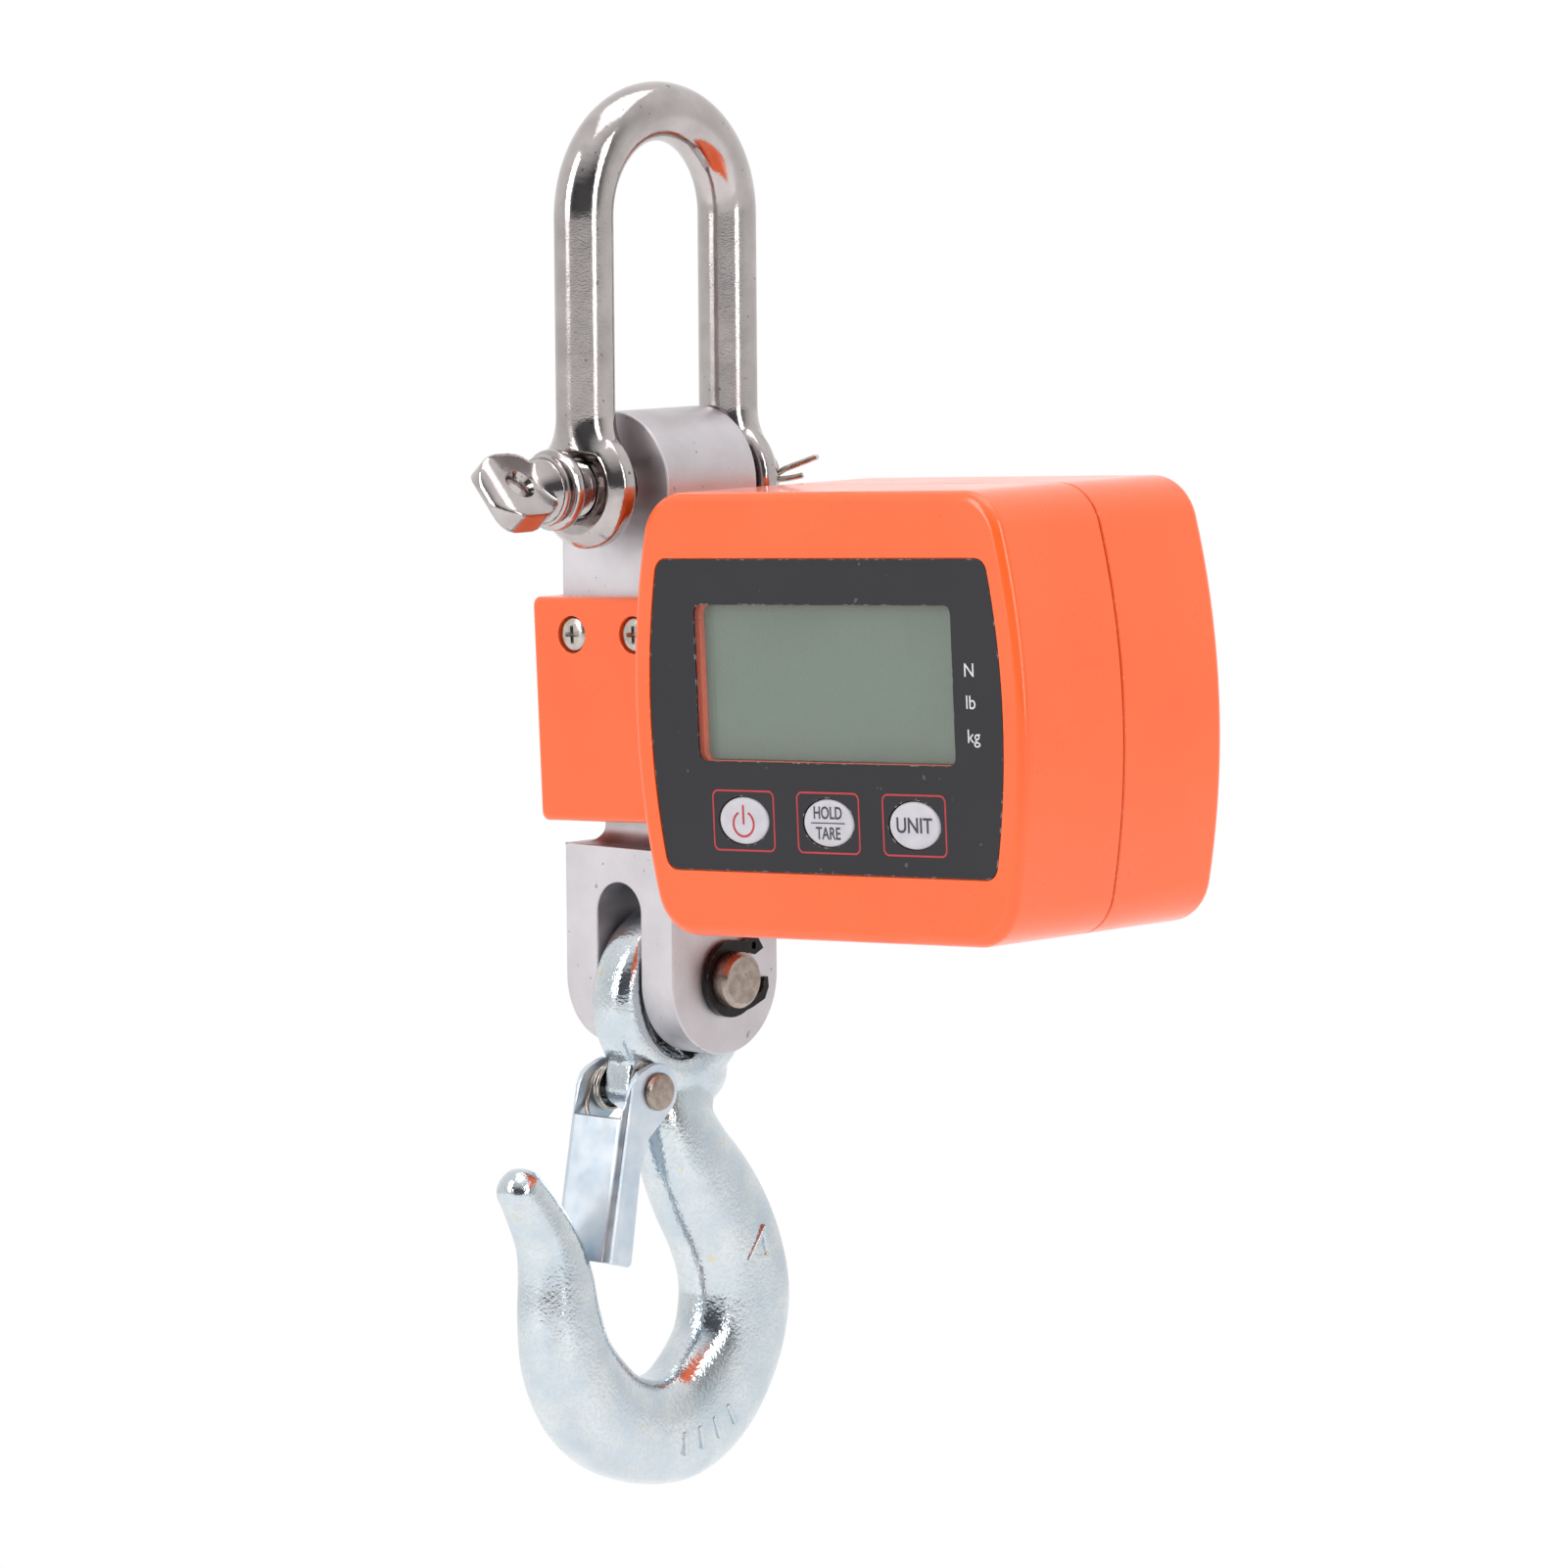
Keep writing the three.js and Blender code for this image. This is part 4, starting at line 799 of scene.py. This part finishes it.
def build_housing_front():
    shell = raw_object(shell_rings(FRONT, SEAM - SEAM_GAP), "housing_front_shell", TURNED)
    collar_end = FRONT + 5.0
    carve(shell, [prism(screen_outline(1.3), "y", FRONT + WALL - 0.5, collar_end)], TURNED, "UNION")
    tools = [
        prism(panel_outline(0.2), "y", FRONT - 1, FRONT + RECESS),
        prism(screen_outline(1.1), "y", FRONT - 1, FRONT + RECESS + 1.1),
        prism(screen_outline(), "y", FRONT - 1, collar_end + 1),
    ]
    for x in KEY_X:
        tools.append(prism(key_outline(x, 0.5), "y", FRONT - 1, FRONT + WALL + 1))
    carve(shell, tools, TURNED)
    soften(shell, 0.13, 2, 50)
    finish_piece(shell, "paint", ["housing_front"])


def build_housing_rear():
    shell = raw_object(shell_rings(BACK, SEAM + SEAM_GAP), "housing_rear_shell", TURNED)
    rim_front = BACK - WALL - 1.7
    left, right, low, high = (edge + way * 2.5 for edge, way in zip(DOOR, (-1, 1, -1, 1)))
    rim = block((left, right), (rim_front, BACK - 1), (low, high))
    bosses = [prism(oval(x, z, 3.6, 3.6, 40), "y", SEAM + 1, BACK - 1) for x in POST_X for z in POST_Z]
    carve(shell, [rim, *bosses], TURNED, "UNION")
    tools = [
        prism(rounded(DOOR, 0.5, 0.3, 3), "y", BACK - WALL, BACK + 1),
        block(BAY[:2], (rim_front - 1, BACK), BAY[2:]),
    ]
    for x in POST_X:
        for z in POST_Z:
            tools.append(prism(oval(x, z, 3.2, 3.2, 40), "y", BACK - 6.0, BACK + 1))
            tools.append(prism(oval(x, z, 1.75, 1.75, 24), "y", -3, BACK + 1))
    carve(shell, tools, TURNED)
    soften(shell, 0.13, 2, 50)
    finish_piece(shell, "paint", ["housing_rear"])


def build_seal():
    outer, inner = housing_outline(0.5), housing_outline(WALL - 0.3)
    low, high = SEAM - 0.12, SEAM + 0.12
    rings = [at_depth(*row) for row in ((outer, low), (outer, high), (inner, high), (inner, low))]
    seal = raw_object(loft(rings, ring_of_rings=True), "seam_seal", TURNED)
    finish_piece(seal, "rubber", ["housing_seal"])


# ---- Front panel, keys, prints and display ----


def build_panel():
    film = prism(panel_outline(), "y", PANEL_FACE, PANEL_FACE + PANEL_THICKNESS)
    sheet = raw_object(film, "panel_film", TURNED)
    tools = [prism(screen_outline(), "y", FRONT - 1, FRONT + 3)]
    for x in KEY_X:
        tools.append(prism(key_outline(x, 0.2), "y", FRONT - 1, FRONT + 3))
    carve(sheet, tools, TURNED)
    soften(sheet, 0.07, 2, 50)
    finish_piece(sheet, "panel", ["panel_overlay"])


def build_display():
    back = FRONT + RECESS + 1.05
    pane = raw_object(prism(screen_outline(0.95), "y", back - 1.0, back), "display_pane", TURNED)
    soften(pane, 0.1, 2)
    finish_piece(pane, "window", ["display_window"])
    levels = [
        (FRONT + 2.7, -0.2), (FRONT + 2.75, -0.15), (FRONT + 5.15, -0.15), (FRONT + 5.2, 0.8), (-20.7, 0.8),
    ]
    rings = [at_depth(screen_outline(grow), y) for y, grow in levels]
    glass = raw_object(loft(rings), "display_cell", TURNED)
    finish_piece(glass, "screen", ["display_glass"])


def build_key(node, x):
    """A crowned cap above a flange, with a stem to its switch."""
    flange = FRONT + WALL + 0.1
    levels = [
        (CAP_FACE, 1.2), (CAP_FACE + 0.04, 0.6), (CAP_FACE + 0.14, 0.2), (CAP_FACE + 0.34, 0.0),
        (flange, 0.0), (flange, -1.2), (flange + 0.6, -1.2), (flange + 0.6, KEY_HALF_Z - 1.5),
        (FRONT + 4.0, KEY_HALF_Z - 1.5),
    ]
    rings = [at_depth(key_outline(x, -inset), y) for y, inset in levels]
    key = raw_object(loft(rings), node + "_cap", TURNED)
    finish_piece(key, "keycap", [node], body=node, sharp=40)


PRINT_DEPTH = 0.03
CAP_HEIGHT = 0.7


def add_print(name, shape, material, body="scale"):
    """A print on the panel film, or on the cap of a key."""
    piece = raw_object(shape, name, TURNED)
    finish_piece(piece, material, body=body, sharp=40, weighted=False)


def frame_line(outer, inner, front):
    """A thin raised line between two outlines."""
    rear = front + PRINT_DEPTH
    order = ((outer, front), (outer, rear), (inner, rear), (inner, front))
    return loft([at_depth(*row) for row in order], ring_of_rings=True)


def lettering(name, words, place, height, front, material, body="scale", stretch=1.0, weight=0.0):
    """Flat letters that face -Y, centred on a place."""
    data = bpy.data.curves.new(name, "FONT")
    data.body = words
    data.align_x = "CENTER"
    data.align_y = "CENTER"
    data.size = height / CAP_HEIGHT
    data.extrude = PRINT_DEPTH / 2
    data.offset = weight
    text = bpy.data.objects.new(name, data)
    scene.collection.objects.link(text)
    seen = text.evaluated_get(bpy.context.evaluated_depsgraph_get())
    flat = bpy.data.meshes.new_from_object(seen)
    x, z = place
    points = [(x + v.co.x * stretch, front - v.co.z, z + v.co.y) for v in flat.vertices]
    faces = [tuple(polygon.vertices) for polygon in flat.polygons]
    bpy.data.objects.remove(text)
    add_print(name, Shape(points, faces), material, body)


def build_prints():
    face = PANEL_FACE - PRINT_DEPTH + 0.01
    half_x, half_z, line, corner = 7.25, 5.3, 0.32, 1.3
    for i, x in enumerate(KEY_X):
        bounds = (x - half_x, x + half_x, KEY_Z - half_z, KEY_Z + half_z)
        frame = frame_line(rounded(bounds, corner), rounded(bounds, corner - line, -line), face)
        add_print(f"key_frame_{i + 1}", frame, "print_red")
    for words, x, z in (("N", 95.2, -31.0), ("lb", 95.3, -36.4), ("kg", 95.7, -42.1)):
        lettering("unit_" + words, words, (x, z), 2.3, face, "print_white")
    cap = CAP_FACE - PRINT_DEPTH
    power_x, hold_x, unit_x = KEY_X
    middle_z = KEY_Z - 0.1
    for words, rise in (("HOLD", 1.75), ("TARE", -1.75)):
        place = (hold_x, middle_z + rise)
        lettering("mark_" + words.lower(), words, place, 2.1, cap, "print_dark", "hold_key", 0.8, 0.04)
    rule = block((hold_x - 3.9, hold_x + 3.9), (cap, cap + PRINT_DEPTH), (KEY_Z - 0.1, KEY_Z + 0.1))
    add_print("mark_rule", rule, "print_dark", "hold_key")
    lettering("mark_unit", "UNIT", (unit_x, middle_z), 2.6, cap, "print_dark", "unit_key", 0.95, 0.04)
    ring_z = KEY_Z - 0.55
    ring = arc(power_x, ring_z, 2.6, 118, 422, 44, 2.35) + arc(power_x, ring_z, 2.15, 422, 118, 44, 1.95)
    bar = rounded((power_x - 0.22, power_x + 0.22, ring_z - 0.1, ring_z + 3.3), 0.15, steps=3)
    for name, outline in (("mark_power_ring", ring), ("mark_power_bar", bar)):
        add_print(name, prism(outline, "y", cap, cap + PRINT_DEPTH), "print_red", "power_key")


# ---- Battery door ----


def build_door():
    thickness = 2.0
    left, right, low, high = DOOR
    hinge_y, hinge_z = BACK - 0.15 - thickness / 2, high - thickness / 2
    front, rear = hinge_y - thickness / 2, hinge_y + thickness / 2
    plate = arc(left + 2, low + 2, 2, 270, 180, 8) + [(left, hinge_z), (right, hinge_z)]
    plate += arc(right - 2, low + 2, 2, 0, -90, 8)
    door = raw_object(prism(plate, "y", front, rear), "battery_door_panel", TURNED)
    barrel = prism(oval(hinge_y, hinge_z, thickness / 2, thickness / 2, 24), "x", left, right)
    carve(door, [barrel], TURNED, "UNION")
    tools = [prism(oval(rear + 3.0, low + 4.0, 4.0, 4.0, 64), "x", MID_X - 8, MID_X + 8)]
    for z in np.arange(-54.5, -47, 1.6):
        tools.append(block((MID_X - 9, MID_X + 9), (rear - 0.35, rear + 1), (z - 0.35, z + 0.35)))
    carve(door, tools, TURNED)
    soften(door, 0.15, 2, 50)
    finish_piece(door, "black", ["battery_door"], body="battery_door")


def turned_middle(node):
    """Middle of a node's box, in the housing's own square directions."""
    low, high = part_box(node)
    x, y, z = (low + high) / 2 / MM
    rise = z + CROWN - TILT_CENTRE_Z
    across = x * math.cos(TILT) + rise * math.sin(TILT)
    return across, y - BAR_SHIFT, TILT_CENTRE_Z - x * math.sin(TILT) + rise * math.cos(TILT)


def build_cells():
    """AA cells that lie along X, each turned round from its neighbour."""
    radius, half = 7.05, 24.5
    for i in range(3):
        way = 1 if i % 2 == 0 else -1
        profile = [
            (0, -half), (5.0, -half), (5.3, -half + 0.3), (6.5, -half + 0.3), (radius, -half + 0.8),
            (radius, half - 2.2), (6.5, half - 1.6), (3.0, half - 1.4), (2.7, half - 0.3), (2.3, half),
            (0, half),
        ]
        node = f"battery_cell_{i + 1}"
        shape = lathe([(across, way * along) for across, along in profile], "x", turned_middle(node))
        cell = raw_object(shape, node + "_can", TURNED)
        finish_piece(cell, "cell_wrap", [node], sharp=40)


# ---- Hook pin and clips ----

CLIP_IN, CLIP_OUT, CLIP_RADIUS, GROOVE = 13.35, 14.55, 6.9, 4.2


def build_hook_pin():
    end = max(corner.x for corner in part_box("hook_pin")) / MM
    half = [
        (PIN, CLIP_IN - 0.15), (GROOVE, CLIP_IN - 0.05), (GROOVE, CLIP_OUT + 0.05), (PIN, CLIP_OUT + 0.15),
        (PIN, end - 0.75), (PIN - 0.12, end - 0.55), (PIN - 0.75, end - 0.03), (PIN - 1.0, end), (0.5, end),
        (0, end - 0.25),
    ]
    profile = [(radius, -along) for radius, along in reversed(half)] + half
    pin = raw_object(lathe(profile, "x", (0, 0, HOOK_PIN_Z), 80), "hook_pin_turned")
    finish_piece(pin, "pin_steel", ["hook_pin"], sharp=30)


# Lugs at the two ends of a spring clip: y, z from the pin's axis
CLIP_UPPER = [(3.6, 6.4), (5.4, 7.05), (7.2, 6.7), (8.5, 4.8), (6.3, 3.8), (4.6, 4.3), (3.4, 3.7)]
CLIP_LOWER = [(3.4, -3.6), (5.4, -3.4), (7.5, -3.2), (8.3, -2.3), (8.5, -0.5), (9.6, -0.4), (9.8, -2.3),
              (8.8, -4.4), (5.6, -5.6)]


def build_clip(side, node):
    """A spring clip, open towards +Y, with its lugs past the pin."""
    ring = arc(0.6, 0, CLIP_RADIUS, -62, -292, 56)
    inner = arc(0, 0, GROOVE + 0.1, 45, 315, 48)
    outline = [(y, z + HOOK_PIN_Z) for y, z in CLIP_LOWER + ring + CLIP_UPPER + inner]
    clip = raw_object(prism(outline, "x", *sorted((side * CLIP_IN, side * CLIP_OUT))), node + "_spring")
    carve(clip, [prism(oval(5.9, HOOK_PIN_Z + 5.5, 0.65, 0.65, 16), "x", -THROUGH, THROUGH)])
    soften(clip, 0.12, 2, 50)
    finish_piece(clip, "clip", [node])


# ---- Hook ----

EYE_HOLE, EYE_RIM, EYE_HALF = 9.6, 17.3, 4.9
EYE_Z = joints["hook_swing"]["pos_m"][2] / MM + CROWN
RIVET_Y = joints["latch_pivot"]["pos_m"][1] / MM - BAR_SHIFT
RIVET_Z = joints["latch_pivot"]["pos_m"][2] / MM + CROWN

# Middle line of the forging: y, z, half width in the hook's plane, half thickness across it
HOOK_LINE = [
    (1.0, -103.0, 8.6, 4.4), (0.4, -109.5, 8.3, 4.7), (0.0, -114.5, 7.8, 5.8),
    (2.6, -121.0, 8.9, 6.6), (6.8, -127.4, 10.1, 7.0), (11.2, -134.0, 10.5, 7.2),
    (14.5, -141.5, 10.8, 7.4), (15.4, -149.0, 11.3, 7.5), (13.1, -157.4, 11.1, 7.5),
    (7.4, -164.7, 11.2, 7.5), (0.0, -169.1, 10.6, 7.4), (-9.0, -169.6, 9.6, 7.2),
    (-17.2, -166.7, 9.5, 7.1), (-23.3, -161.6, 9.5, 7.0), (-27.8, -154.6, 8.6, 6.8),
    (-29.8, -146.5, 7.4, 6.5), (-30.6, -139.2, 6.5, 6.0), (-32.5, -132.8, 5.3, 5.4),
    (-36.1, -126.8, 4.5, 4.7), (-39.1, -122.7, 4.0, 4.1),
]


def hook_stations():
    rows = smooth_line(HOOK_LINE, 110)
    ways = np.gradient(rows[:, :2], axis=0)
    ways /= np.linalg.norm(ways, axis=1)[:, None]
    stations = [(row, (-way[1], way[0])) for row, way in zip(rows, ways)]
    (y, z, half_width, half_thickness), normal = stations[-1]
    for turn in np.linspace(0.2, math.pi / 2 - 0.05, 7):
        advance = half_width * math.sin(turn)
        shrink = math.cos(turn)
        row = (y + normal[1] * advance, z - normal[0] * advance, half_width * shrink, half_thickness * shrink)
        stations.append((row, normal))
    return stations


def signed_power(value, power):
    return math.copysign(abs(value) ** power, value)


def rounded_section(row, normal, sides=40, squareness=2.5):
    y, z, half_width, half_thickness = row
    ring = []
    for i in range(sides):
        turn = TAU * i / sides
        reach = signed_power(math.cos(turn), 2 / squareness) * half_width
        across = signed_power(math.sin(turn), 2 / squareness) * half_thickness
        ring.append((across, y + normal[0] * reach, z + normal[1] * reach))
    return ring


BOWL_CENTRE = np.array((-7.0, -145.0))
MARK_FOOT, MARK_TOP = 5.5, 7.75


def shoulder(centre, half_sizes, steps=16):
    """An egg-shaped swelling that fills the neck between the eye and the body."""
    rows = [(math.sin(a), -math.cos(a)) for a in np.linspace(0.05, math.pi - 0.05, steps)]
    ball = lathe(rows, "z", segments=32)
    return ball.changed(lambda p: tuple(c + h * v for c, h, v in zip(centre, half_sizes, p)))


def build_hook():
    shape = loft([rounded_section(row, normal) for row, normal in hook_stations()])
    middle, half_rim = (EYE_HOLE + EYE_RIM) / 2, (EYE_RIM - EYE_HOLE) / 2
    ring = []
    for i in range(32):
        turn = TAU * i / 32
        reach = half_rim * signed_power(math.cos(turn), 0.85)
        ring.append((middle + reach, EYE_HALF * signed_power(math.sin(turn), 0.6)))
    shape += lathe(ring, "x", (0, 0, EYE_Z), 96)
    lug = [(-2, -99), (-12.6, -100.5), (-14.0, -103.6)] + arc(RIVET_Y, RIVET_Z, 3.4, 170, 250, 12)
    lug += [(-8, -113), (2, -114)]
    shape += prism(lug, "x", -3.3, 3.3)
    shape += shoulder((0, 3.6, -106.2), (4.8, 9.3, 7.0))
    hook = raw_object(shape, "hook_forging")
    fuse(hook, 0.42, 8)
    carve(hook, [prism(oval(RIVET_Y, RIVET_Z, 2.35, 2.35, 32), "x", -8, 8)])
    finish_piece(hook, "zinc", ["hook"], body="hook", sharp=55, weighted=False)


def build_hook_marks():
    """Plain forge marks on the forging's side: a raised triangle ring and a row of bars."""
    corners = np.array([(11.2, -140.6), (17.4, -141.4), (15.8, -134.4)])
    centre = corners.mean(axis=0)
    hollow = centre + (corners - centre) * 0.5
    for side, word in ((-1, "left"), (1, "right")):
        low, high = side * MARK_FOOT, side * MARK_TOP
        order = ((corners, low), (corners, high), (hollow, high), (hollow, low))
        rings = [[(x, y, z) for y, z in outline] for outline, x in order]
        mark = raw_object(loft(rings, ring_of_rings=True), "forge_triangle_" + word)
        soften(mark, 0.25, 3)
        finish_piece(mark, "zinc", body="hook")
    bars = Shape([], [])
    for i in range(4):
        angle = math.radians(-86 + 9 * i)
        along = np.array((math.cos(angle), math.sin(angle)))
        across = np.array((-along[1], along[0])) * 0.5
        near, far = BOWL_CENTRE + along * 24.6, BOWL_CENTRE + along * 29.0
        bars += prism([near - across, far - across, far + across, near + across], "x", MARK_FOOT, MARK_TOP)
    strip = raw_object(bars, "forge_bars")
    soften(strip, 0.22, 3)
    finish_piece(strip, "zinc", body="hook")


# ---- Latch ----

LATCH_HALF, SHEET = 7.0, 1.2
RIVET_RADIUS, RIVET_HEAD, HEAD_HEIGHT = 2.2, 3.4, 1.2
WEB_TOP, WEB_BOTTOM = (-19.7, -111.7), (-24.5, -136.7)


def build_rivet():
    shoulder = LATCH_HALF + 0.1
    head = shoulder + HEAD_HEIGHT
    half = [
        (RIVET_RADIUS, 0.0), (RIVET_RADIUS, shoulder), (RIVET_HEAD - 0.1, shoulder),
        (RIVET_HEAD, shoulder + 0.15), (RIVET_HEAD, head - 0.7), (RIVET_HEAD - 0.18, head - 0.35),
        (RIVET_HEAD - 0.6, head - 0.1), (RIVET_HEAD - 1.3, head), (0, head),
    ]
    profile = [(radius, -along) for radius, along in reversed(half[1:])] + half
    rivet = raw_object(lathe(profile, "x", (0, RIVET_Y, RIVET_Z), 56), "latch_rivet_turned")
    finish_piece(rivet, "pin_steel", ["latch_rivet"], body="hook", sharp=30)


def along_web(shape):
    """Leans a shape drawn upright against the web's slope, with y measured from the web's outer face."""
    lean = (WEB_BOTTOM[0] - WEB_TOP[0]) / (WEB_BOTTOM[1] - WEB_TOP[1])
    return shape.changed(lambda p: (p[0], p[1] + WEB_TOP[0] + (p[2] - WEB_TOP[1]) * lean, p[2]))


def build_latch():
    cheek = [WEB_BOTTOM, WEB_TOP, (-18.7, -109.0), (-17.9, -106.4), (-16.7, -104.6), (-15.2, -103.6)]
    cheek += arc(RIVET_Y, RIVET_Z, 5.0, 110, -54, 28)
    cheek += [(-13.6, RIVET_Z - 8.2), (-15.9, RIVET_Z - 14.2)]
    foot_y, foot_z = WEB_BOTTOM
    cheek += [(foot_y + 6.2, foot_z - 0.4), (foot_y + 5.9, foot_z - 1.1), (foot_y + 5.2, foot_z - 1.4)]
    latch = raw_object(prism(cheek, "x", -LATCH_HALF, LATCH_HALF), "latch_channel")
    fold = 1.9
    deep = 40.0
    hollow = LATCH_HALF - SHEET
    envelope = rounded((-LATCH_HALF, LATCH_HALF, 0, deep), fold, steps=10)
    inside = rounded((-hollow, hollow, SHEET, deep), fold - SHEET, steps=6)
    low, high = RIVET_Z - 60, RIVET_Z + 30
    carve(latch, [along_web(prism(envelope, "z", low, high))], operation="INTERSECT")
    carve(latch, [
        along_web(prism(inside, "z", low, high)),
        prism(rectangle(hollow, 30), "z", WEB_TOP[1], high),
        prism(oval(RIVET_Y, RIVET_Z, RIVET_RADIUS + 0.15, RIVET_RADIUS + 0.15, 32), "x", -10, 10),
    ])
    soften(latch, 0.16, 2, 45)
    finish_piece(latch, "zinc_sheet", ["latch"], body="latch")


def build_latch_spring():
    """Two coils on the rivet, one on each side of the hook's lug, joined by a loop behind the latch."""
    radius, wire_radius, turns, start_x, pitch = 3.9, 0.42, 2.0, 3.75, 0.84
    for side in (-1, 1):
        line = [
            (side * start_x, RIVET_Y + 7.6, RIVET_Z - 7.4), (side * start_x, RIVET_Y + 5.0, RIVET_Z - 3.4),
        ]
        for at in np.linspace(0, 1, 60):
            turn = TAU * (turns + 0.25) * at
            reach = side * (start_x + pitch * turns * at)
            line.append((reach, RIVET_Y + radius * math.cos(turn), RIVET_Z + radius * math.sin(turn)))
        line += [
            (reach, RIVET_Y - 3.4, RIVET_Z + 2.0), (reach, RIVET_Y - 5.4, RIVET_Z - 2.6),
            (side * 3.0, RIVET_Y - 6.9, RIVET_Z - 5.4), (0, RIVET_Y - 7.1, RIVET_Z - 5.6),
        ]
        name = "latch_spring_coil_" + ("left" if side < 0 else "right")
        spring = raw_object(wire(line, wire_radius, 320, 12), name)
        finish_piece(spring, "spring_wire", ["latch_spring"], body="latch", sharp=60, weighted=False)


# ---- Build everything ----

build_bow()
build_shackle_pin()
build_split_pin()
build_load_cell()
build_cover(-1, "cover_front_shell")
build_cover(1, "cover_rear_shell")
for row, face in enumerate((-1, 1)):
    for column, side in enumerate((-1, 1)):
        number = row * 2 + column + 1
        place, head = (side * SCREW_X, SCREW_Z), face * (COVER_Y - 0.1)
        build_screw(f"cover_screw_head_{number}", f"cover_screw_{number}", place, head, -face, 3.0)
build_housing_front()
build_housing_rear()
build_seal()
for i, (x, z) in enumerate([(x, z) for x in POST_X for z in POST_Z]):
    build_screw(f"housing_screw_head_{i + 1}", f"housing_screw_{i + 1}", (x, z), BACK - 3.9, -1, length=20.0)
build_panel()
build_display()
for node, x in zip(("power_key", "hold_key", "unit_key"), KEY_X):
    build_key(node, x)
build_prints()
build_door()
build_cells()
build_hook_pin()
build_clip(-1, "retaining_clip_left")
build_clip(1, "retaining_clip_right")
build_hook()
build_hook_marks()
build_rivet()
build_latch()
build_latch_spring()

# CAD nodes that stay as they are get the finish of their slot.
slot_of = {part["node"]: part["material_slot"] for part in frame["record"]["subparts"]}
for node, thing in frame["nodes"].items():
    thing.data.materials.clear()
    thing.data.materials.append(MATERIALS[slot_of[node]])


# ---- Floor, light and surroundings ----


def add_floor():
    low = cad_box[0].z - 0.16
    lowered = Matrix.Translation((0, 0, low))
    work = bmesh.new()
    bmesh.ops.create_grid(work, x_segments=24, y_segments=24, size=40.0, matrix=lowered)
    mesh = bpy.data.meshes.new("floor")
    work.to_mesh(mesh)
    work.free()
    floor = bpy.data.objects.new("floor", mesh)
    scene.collection.objects.link(floor)
    material = bpy.data.materials.new("pale_floor")
    n = Nodes(material)
    place = n.add("TexCoord").outputs["Object"]
    tone = n.spread(n.noise(place, 300.0), 0.3, 0.7)
    colour = n.mix(tone, (0.90, 0.90, 0.90, 1), (0.93, 0.93, 0.93, 1))
    shader = n.add("BsdfPrincipled", None, Base_Color=colour, Roughness=0.9)
    glow = n.add("Emission", None, Color=(1, 1, 1, 1), Strength=1.0)
    distance = n.add("VectorMath", {"operation": "LENGTH"}, i0=place).outputs["Value"]
    seen = n.add("LightPath").outputs["Is Camera Ray"]
    fade = n.math("MULTIPLY", n.spread(distance, 0.35, 0.75), n.spread(seen, 0.0, 1.0, 0.35, 1.0))
    both = n.add("MixShader", None, Fac=fade, i1=shader.outputs["BSDF"], i2=glow.outputs["Emission"])
    n.add("OutputMaterial", None, Surface=both.outputs["Shader"])
    mesh.materials.append(material)


def add_light(name, place, size, power, target=(0.02, 0.0, -0.11)):
    data = bpy.data.lights.new(name, "AREA")
    data.shape = "RECTANGLE"
    data.size, data.size_y = size
    data.energy = power
    light = bpy.data.objects.new(name, data)
    light.location = place
    light.rotation_euler = (Vector(target) - Vector(place)).to_track_quat("-Z", "Y").to_euler()
    scene.collection.objects.link(light)


def add_surroundings():
    """White behind the object, grey at the sides and dark behind the camera, as in a small studio."""
    world = bpy.data.worlds.new("studio")
    scene.world = world
    n = Nodes(world)
    direction = n.add("TexCoord").outputs["Generated"]
    level = n.add("VectorMath", {"operation": "MULTIPLY"}, i0=direction, i1=(1.0, 1.0, 0.0)).outputs["Vector"]
    level = n.add("VectorMath", {"operation": "NORMALIZE"}, i0=level).outputs["Vector"]
    toward = n.add("VectorMath", {"operation": "DOT_PRODUCT"}, i0=level,
                   i1=(math.sin(CAMERA_AZIMUTH), -math.cos(CAMERA_AZIMUTH), 0.0)).outputs["Value"]
    ramp = n.add("ValToRGB", None, Fac=n.spread(toward, -1.0, 1.0))
    stops = ramp.color_ramp.elements
    stops[0].position, stops[0].color = 0.0, (1.0, 1.0, 1.0, 1)
    stops[1].position, stops[1].color = 1.0, (0.10, 0.10, 0.11, 1)
    for position, grey in ((0.45, 0.86), (0.64, 0.62), (0.77, 0.24), (0.88, 0.07)):
        stop = stops.new(position)
        stop.color = (grey, grey, grey, 1)
    above = n.add("SeparateXYZ", None, Vector=direction).outputs["Z"]
    light = n.mix(n.spread(above, 0.4, 0.85), ramp.outputs["Color"], (0.95, 0.95, 0.96, 1))
    seen = n.add("LightPath").outputs["Is Camera Ray"]
    colour = n.mix(seen, light, (1.0, 1.0, 1.0, 1))
    background = n.add("Background", None, Color=colour, Strength=1.0)
    n.add("OutputWorld", None, Surface=background.outputs["Background"])


add_floor()
add_surroundings()
add_light("key_light", (-0.55, -1.35, 0.55), (0.5, 1.3), 10.0)
add_light("side_light", (1.45, -0.15, 0.45), (0.4, 1.2), 7.0)
add_light("top_light", (0.1, 0.1, 1.4), (1.2, 1.2), 7.0)
scene.view_settings.view_transform = "Standard"
